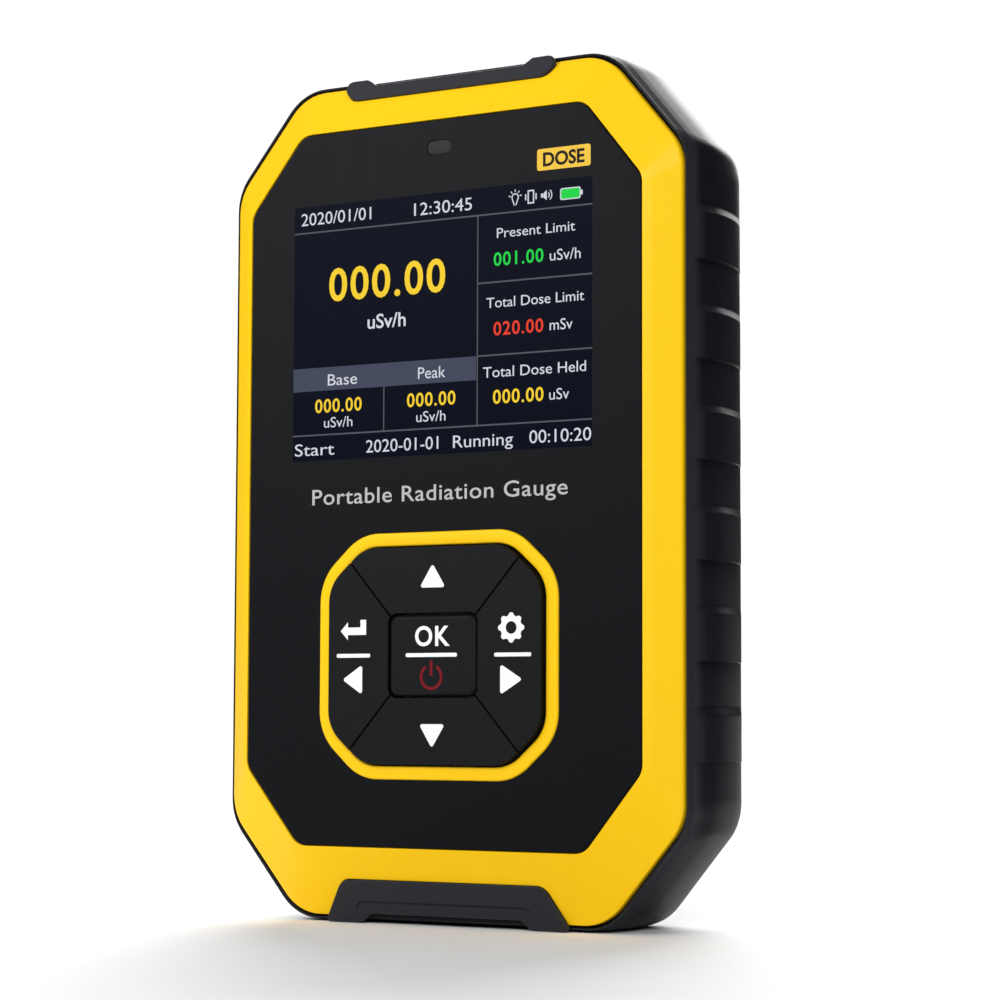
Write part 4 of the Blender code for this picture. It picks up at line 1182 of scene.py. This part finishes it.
def build_key(name, outline, width):
    node = f"key_{name}"
    low, high, _ = span(node)
    stem_mid = span(f"switch_plunger_{name}")[2]
    cap_back = KEY_FRONT_Y + 2.9
    bm = skin([(KEY_FACE_Y, outline), (cap_back, outline)])
    bmesh.ops.recalc_face_normals(bm, faces=bm.faces)
    rim = [e for e in bm.edges if all(abs(v.co.y - KEY_FACE_Y) < 0.01 for v in e.verts)]
    bmesh.ops.bevel(bm, geom=rim, offset=width, segments=6, profile=0.5, affect="EDGES", clamp_overlap=True)
    key = new_piece(f"{node}_cap", bm, Palette.get("key"), sharp=38)
    stem = prism("tool", circle(1.6, (stem_mid.x, stem_mid.z), 24), (cap_back - 0.5, high.y))
    carve(key, [stem], "UNION")
    settle(key, f"{name}_button", "key_black", node)


def build_keys():
    width = bpy.context.scene.counter_sizes.key_round / MM
    for name, direction in (("up", (0, 1)), ("down", (0, -1)), ("left", (-1, 0)), ("right", (1, 0))):
        build_key(name, outer_key_outline(direction, KEY_GAP), width)
    outline = rectangle(grown(OK_HALF, -KEY_GAP / 2), (0.0, KEYPAD_Z), OK_ROUND, 8)
    build_key("ok", outline, width * 1.7)


def legend(name, outlines, ink, body):
    made = plate(name, outlines, LEGEND_LEVELS, Palette.get(ink))
    settle(made, body, "key_black")


def triangle(mid, half, high, way):
    """A rounded triangle that points up, down, left or right."""
    points = [(-half, -high / 2), (half, -high / 2), (0.0, high / 2)]
    turn = {"up": 0, "left": 1, "down": 2, "right": 3}[way]
    for _ in range(turn):
        points = [(-z, x) for x, z in points]
    return rounded([(x + mid[0], z + mid[1]) for x, z in points], 0.28, 5)


def gear_outline(mid, teeth, radius):
    """A ring of blunt teeth as one wavy outline."""
    points = []
    for step in range(GEAR_STEPS):
        angle = 2 * math.pi * step / GEAR_STEPS
        wave = max(-1.0, min(1.0, 2.2 * math.cos(teeth * (angle - math.pi / 2))))
        reach = radius * (0.91 + 0.09 * wave)
        points.append((mid[0] + reach * math.cos(angle), mid[1] + reach * math.sin(angle)))
    return points


def build_legends():
    z = KEYPAD_Z
    legend("legend_up", [triangle((0.0, z + 11.0), 2.1, 3.3, "up")], "white_ink", "up_button")
    legend("legend_down", [triangle((0.0, z - 11.1), 2.1, 3.3, "down")], "white_ink", "down_button")
    arrow = [
        (-15.15, z + 3.5), (-13.95, z + 2.25), (-13.95, z + 2.95), (-10.9, z + 2.95), (-10.9, z + 5.05),
        (-11.85, z + 5.05), (-11.85, z + 4.0), (-13.95, z + 4.0), (-13.95, z + 4.75),
    ]
    bars = rectangle((2.8, 0.27), (-13.0, z + 0.05), 0.2, 4)
    shapes = [arrow, bars, triangle((-13.15, z - 3.3), 2.1, 3.3, "left")]
    legend("legend_left", shapes, "white_ink", "left_button")
    shapes = [rectangle((2.9, 0.27), (12.85, z), 0.2, 4), triangle((12.65, z - 3.35), 2.1, 3.5, "right")]
    legend("legend_right", shapes, "white_ink", "right_button")
    proud, sunk = LEGEND_LEVELS
    middle = (12.6, z + 3.65)
    hole = circle(0.85, middle, GEAR_STEPS)
    edge = gear_outline(middle, 8, 2.05)
    rings = [(sunk, edge), (proud, edge), (proud, hole), (sunk, hole)]
    gear = new_piece("legend_gear", skin(rings, closed=True), Palette.get("white_ink"))
    settle(gear, "right_button", "key_black")
    word = [("OK", -2.8, 2.85, z + 1.35, 2.6)]
    made = lettering("legend_ok", word, Palette.get("white_ink"), KEY_FACE_Y, 0.022, 1.1)
    settle(made, "ok_button", "key_black")
    legend("legend_ok_rule", [rectangle((4.15, 0.27), (-0.15, z + 0.05), 0.2, 4)], "white_ink", "ok_button")
    power = (-0.15, z - 2.95)
    shapes = [arc_band(power, 1.62, 0.42, 122, 296, 40), rectangle((0.21, 1.05), (power[0], power[1] + 1.2))]
    legend("legend_power", shapes, "red_ink", "ok_button")


# ---------------------------------------------------------------- fixings, port and inside

def screw_part(head, head_tall, shank, shank_long):
    """A pan-head screw about the origin, head towards +Y, with a cross recess."""
    count = 32
    profile = [
        (-shank_long, shank * 0.5), (-shank_long + 0.5, shank), (-0.25, shank), (0.0, shank + 0.15),
        (0.0, head * 0.97), (0.1, head), (head_tall * 0.55, head), (head_tall * 0.85, head * 0.86),
        (head_tall, head * 0.6),
    ]
    screw = new_piece("part", skin([(y, circle(r, (0, 0), count)) for y, r in profile]))
    arm = head * 0.62
    tools = []
    for half in ((arm, 0.28), (0.28, arm)):
        low = (half[0] * 0.6 if half[0] > 0.3 else 0.2, half[1] * 0.6 if half[1] > 0.3 else 0.2)
        rings = [(head_tall * 0.3, rectangle(low, (0, 0))), (head_tall + 0.2, rectangle(half, (0, 0)))]
        tools.append(new_piece("tool", skin(rings)))
    return carve(screw, tools)


def build_fixings():
    """The case screws at the bottom of their wells, and the board's screws."""
    sets = {
        "case_screws": ("case_screw", 2.3, 1.8, 1.0, 9.3, "steel"),
        "board_screws": ("pcb_screw", 1.9, 1.3, 1.0, 4.7, "steel"),
    }
    for name, (node, head, tall, shank, long, finish) in sets.items():
        spots = [span(f"{node}_{i}") for i in range(1, 5)]
        pitch = (spots[1][2].x - spots[0][2].x, spots[0][2].z - spots[2][2].z)
        seat = spots[0][1].y - tall
        mid_z = (spots[0][2].z + spots[2][2].z) / 2
        part = screw_part(head, tall, shank, long)
        made = repeated(name, part, Palette.get(finish), (2, 2), pitch, (0, seat, mid_z))
        settle(made, HOUSING, "steel", *[f"{node}_{i}" for i in range(1, 5)])


def build_port():
    low, high, mid = span("usb_c_shell")
    half = ((high.x - low.x) / 2, (high.y - low.y) / 2)

    def loop(grow):
        return rectangle(grown(half, grow), (0.0, mid.y), half[1] - 0.25 + grow, 8)

    rings = [
        (high.z, loop(0.0)), (low.z + 0.15, loop(0.0)), (low.z, loop(-0.08)), (low.z, loop(-0.22)),
        (low.z + 0.15, loop(-0.3)), (high.z - 1.0, loop(-0.3)),
    ]
    shell = new_piece("charging_shell", skin(rings, along_z), Palette.get("steel"))
    settle(shell, HOUSING, "steel", "usb_c_shell")
    low, high, mid = span("usb_c_tongue")
    box = rectangle(((high.x - low.x) / 2, (high.y - low.y) / 2), (mid.x, mid.y), 0.2, 4)
    tip = rectangle(((high.x - low.x) / 2 - 0.15, (high.y - low.y) / 2 - 0.12), (mid.x, mid.y), 0.15, 4)
    rings = [(low.z, tip), (low.z + 0.2, box), (high.z, box)]
    tongue = new_piece("charging_tongue", skin(rings, along_z), Palette.get("resin"))
    settle(tongue, HOUSING, "chip", "usb_c_tongue")
    contact = prism("part", rectangle((0.13, 1.6), (0, 0)), (-0.02, 0.02))
    middle = (0, low.y - 0.01, low.z + 2.3)
    gold = repeated("charging_contacts", contact, Palette.get("brass"), (12, 1), (0.5, 0), middle)
    settle(gold, HOUSING, "brass")


def build_label():
    """A blank data plate: a film with a raised border and plain ruled fields."""
    outline = rectangle((17.0, 12.0), (LABEL_MID.x, LABEL_MID.z), 1.0)
    inner = rectangle((16.85, 11.85), (LABEL_MID.x, LABEL_MID.z), 0.9)
    rings = [(LABEL_LOW.y, outline), (BACK_Y - 0.12, outline), (BACK_Y - 0.05, inner)]
    film = new_piece("rear_label_film", skin(rings), Palette.get("label"))
    settle(film, HOUSING, "label", "rear_label")
    row = prism("part", rectangle((14.0, 0.12), (0, 0)), (-0.01, 0.01))
    middle = (LABEL_MID.x, BACK_Y - 0.05, LABEL_MID.z)
    rows = repeated("rear_label_rules", row, Palette.get("grey_ink"), (1, 6), (0, 3.6), middle)
    settle(rows, HOUSING, "label")


INSIDE = {
    "rubber": ("case_seal",),
    "silicone": ("keypad_membrane",),
    "foam": ("battery_foam_pad", "motor_cradle"),
    "board": ("main_pcb",),
    "steel": ("lcd_backlight", "gm_tube_cathode", "gm_anode_wire", "vibration_motor_can"),
    "brass": ("gm_tube_base", "tube_clip_lower", "tube_clip_upper", "vibration_motor_weight"),
    "resin": ("mcu_chip", "hv_capacitor", "buzzer"),
    "film": ("lcd_flex", "hv_transformer"),
    "nylon": ("battery_connector",),
    "foil": ("battery_cell",),
    "glass": ("gm_tube_glass",),
    "window": ("lcd_panel",),
    "red_wire": ("battery_lead_red",),
    "black_wire": ("battery_lead_black",),
    "lamp": ("alarm_led",),
}


def build_inside():
    """Finishes for the packed pieces that the case hides."""
    nodes = dict(frame["nodes"])
    for finish, names in INSIDE.items():
        for name in names:
            paint_node(nodes[name], finish)
    for name in nodes:
        if name.startswith("switch_base"):
            paint_node(nodes[name], "steel")
        elif name.startswith("switch_plunger"):
            paint_node(nodes[name], "resin")


def paint_node(node, finish):
    node.data.materials.clear()
    node.data.materials.append(Palette.get(finish))


# ---------------------------------------------------------------- stage

def build_stage():
    scene = bpy.context.scene
    scene.view_settings.view_transform = "Standard"
    scene.view_settings.look = "None"
    world = bpy.data.worlds.new("studio")
    world.use_nodes = True
    scene.world = world
    nodes, link = world.node_tree.nodes, world.node_tree.links.new
    seen = nodes.new("ShaderNodeBackground")
    seen.inputs["Color"].default_value = (1.0, 1.0, 1.0, 1.0)
    seen.inputs["Strength"].default_value = 1.05
    fill = nodes["Background"]
    fill.inputs["Color"].default_value = (0.95, 0.97, 1.0, 1.0)
    way = nodes.new("ShaderNodeTexCoord")
    split = nodes.new("ShaderNodeSeparateXYZ")
    glow = nodes.new("ShaderNodeMapRange")
    glow.interpolation_type = "SMOOTHSTEP"
    for socket, value in zip(("From Min", "From Max", "To Min", "To Max"), (0.05, 1.0, 0.04, 0.5)):
        glow.inputs[socket].default_value = value
    link(way.outputs["Generated"], split.inputs[0])
    link(split.outputs["Z"], glow.inputs["Value"])
    link(glow.outputs["Result"], fill.inputs["Strength"])
    rays = nodes.new("ShaderNodeLightPath")
    choose = nodes.new("ShaderNodeMixShader")
    link(rays.outputs["Is Camera Ray"], choose.inputs[0])
    link(fill.outputs[0], choose.inputs[1])
    link(seen.outputs[0], choose.inputs[2])
    link(choose.outputs[0], nodes["World Output"].inputs["Surface"])

    bm = bmesh.new()
    bmesh.ops.create_grid(bm, x_segments=1, y_segments=1, size=6000.0)
    bmesh.ops.translate(bm, vec=(0, 0, -0.05), verts=bm.verts)
    floor = new_piece("floor", bm, floor_finish())

    lamp("sun_front", "SUN", (0.42, -0.76, 0.43), 1.4, angle=math.radians(25))
    lamp("sun_back", "SUN", (-0.36, 0.82, 0.6), 3.7, angle=math.radians(44))
    lamp("panel_glow", "AREA", (-0.2, -0.32, 0.225), 0.62, size=0.22)
    place_camera()


def floor_finish():
    made = Finish("pale_floor")
    cloud = made.noise(120.0, 2.0)
    tone = made.mix(cloud, (0.9, 0.9, 0.9, 1.0), (0.93, 0.93, 0.93, 1.0))
    made.shader.inputs["Specular IOR Level"].default_value = 0.2
    return made.set(Base_Color=tone, Roughness=0.8 + cloud * 0.1)


def lamp(name, kind, place, energy, size=0.5, angle=0.1):
    light = bpy.data.lights.new(name, kind)
    light.energy = energy
    if kind == "AREA":
        light.shape = "SQUARE"
        light.size = size
    else:
        light.angle = angle
    holder = bpy.data.objects.new(name, light)
    holder.location = place
    aim = Vector((0, 0, MID_Z * MM)) - Vector(place)
    holder.rotation_euler = aim.to_track_quat("-Z", "Y").to_euler()
    bpy.context.scene.collection.objects.link(holder)


def place_camera():
    """A long lens low down to the counter's right, tipped up a little."""
    view = bpy.context.scene.counter_view
    lens = bpy.data.cameras.new("camera")
    lens.sensor_width = 36.0
    lens.lens = view.lens
    lens.clip_start = 0.01
    lens.clip_end = 20.0
    holder = bpy.data.objects.new("camera", lens)
    holder.location = view.place
    around, tip = view.around, view.tip
    ahead = Vector((
        -math.sin(around) * math.cos(tip), math.cos(around) * math.cos(tip), math.sin(tip)))
    turn = ahead.to_track_quat("-Z", "Y").to_matrix() @ Matrix.Rotation(view.roll, 3, "Z")
    holder.rotation_euler = turn.to_euler()
    bpy.context.scene.collection.objects.link(holder)
    bpy.context.scene.camera = holder


# ---------------------------------------------------------------- add-on

class CounterColours(bpy.types.PropertyGroup):
    """Base colours of the parts that show."""

    frame: FloatVectorProperty(
        name="Frame", description="Moulded frame and keypad ring", subtype="COLOR",
        default=(0.93, 0.56, 0.004), min=0, max=1)
    case: FloatVectorProperty(
        name="Case", description="Rear case", subtype="COLOR", default=(0.0045, 0.0052, 0.0075), min=0, max=1)
    trim: FloatVectorProperty(
        name="Trims", description="Soft end inserts", subtype="COLOR",
        default=(0.0145, 0.0152, 0.021), min=0, max=1)
    panel: FloatVectorProperty(
        name="Panel", description="Front panel sheet", subtype="COLOR",
        default=(0.003, 0.0033, 0.0048), min=0, max=1)
    keys: FloatVectorProperty(
        name="Keys", description="Keytops", subtype="COLOR", default=(0.0045, 0.0049, 0.0064), min=0, max=1)
    display: FloatVectorProperty(
        name="Display", description="Display background", subtype="COLOR",
        default=(0.0012, 0.0024, 0.0082), min=0, max=1)


class CounterSizes(bpy.types.PropertyGroup):
    """Sizes of the details that can change without changing the frame."""

    pad_slope: FloatProperty(
        name="Pad Slope", description="Length of the slope at each end of a grip pad",
        unit="LENGTH", default=0.0011, min=0.0003, max=0.002)
    key_round: FloatProperty(
        name="Key Rounding", description="Width of the rounding round each keytop",
        unit="LENGTH", default=0.00038, min=0.0002, max=0.0015)
    slot_count: IntProperty(name="Sound Slots", description="Slots over the tube", default=7, min=1, max=12)
    slot_pitch: FloatProperty(
        name="Slot Pitch", description="Distance between sound slots", unit="LENGTH",
        default=0.004, min=0.002, max=0.008)


class CounterView(bpy.types.PropertyGroup):
    """The camera."""

    place: FloatVectorProperty(
        name="Place", description="Where the camera stands", subtype="TRANSLATION", unit="LENGTH",
        default=(0.20365, -0.33843, 0.02841))
    around: FloatProperty(
        name="Around", description="Angle round the counter from straight ahead", subtype="ANGLE",
        default=math.radians(30.69))
    tip: FloatProperty(
        name="Tip", description="Angle above the horizon that the camera looks", subtype="ANGLE",
        default=math.radians(4.52))
    roll: FloatProperty(
        name="Roll", description="Turn about the line of sight", subtype="ANGLE", default=math.radians(0.19))
    lens: FloatProperty(name="Lens", description="Focal length in millimetres", default=100.16, min=20)


def operator(label, doc, work):
    """An operator class that runs one building function."""
    key = label.lower().replace(" ", "_")

    def execute(self, context):
        work()
        return {"FINISHED"}

    name = f"COUNTER_OT_{key}"
    return type(name, (bpy.types.Operator,), {
        "bl_idname": f"counter.{key}", "bl_label": label, "bl_options": {"REGISTER", "UNDO"},
        "__doc__": doc, "execute": execute,
    })


OPERATORS = [
    operator("Stage", "Floor, lights, world and camera", build_stage),
    operator("Front Case", "Yellow frame and keypad ring", build_front_case),
    operator("Rear Case", "Ribbed black tub with wells and slots", build_rear_case),
    operator("End Trims", "Soft inserts at the top and bottom", build_trims),
    operator("Panel", "Front panel sheet, window and light pipe", build_panel),
    operator("Panel Print", "Title and badge", build_panel_print),
    operator("Display", "Fields, figures and signs of the display", build_display),
    operator("Keys", "Five keytops with their stems", build_keys),
    operator("Key Legends", "Printed signs on the keys", build_legends),
    operator("Fixings", "Case screws and board screws", build_fixings),
    operator("Charging Port", "Shell, tongue and contacts of the inlet", build_port),
    operator("Rear Label", "Blank data plate", build_label),
    operator("Inside", "Finishes for the pieces inside the case", build_inside),
]


class COUNTER_PT_build(bpy.types.Panel):
    """Buttons for every piece, and the sizes and colours they use."""

    bl_label = "Geiger Counter"
    bl_idname = "COUNTER_PT_build"
    bl_space_type = "VIEW_3D"
    bl_region_type = "UI"
    bl_category = "Counter"

    def draw(self, context):
        for group in ("counter_colours", "counter_sizes", "counter_view"):
            settings = getattr(context.scene, group)
            for name in settings.__annotations__:
                self.layout.prop(settings, name)
        for made in OPERATORS:
            self.layout.operator(made.bl_idname)


GROUPS = {"counter_colours": CounterColours, "counter_sizes": CounterSizes, "counter_view": CounterView}


def register():
    for made in (*GROUPS.values(), *OPERATORS, COUNTER_PT_build):
        bpy.utils.register_class(made)
    for name, group in GROUPS.items():
        setattr(bpy.types.Scene, name, PointerProperty(type=group))


def unregister():
    for name in GROUPS:
        delattr(bpy.types.Scene, name)
    for made in (COUNTER_PT_build, *reversed(OPERATORS), *GROUPS.values()):
        bpy.utils.unregister_class(made)


def main():
    register()
    for made in OPERATORS:
        group, name = made.bl_idname.split(".")
        getattr(getattr(bpy.ops, group), name)()


if __name__ == "__main__":
    main()
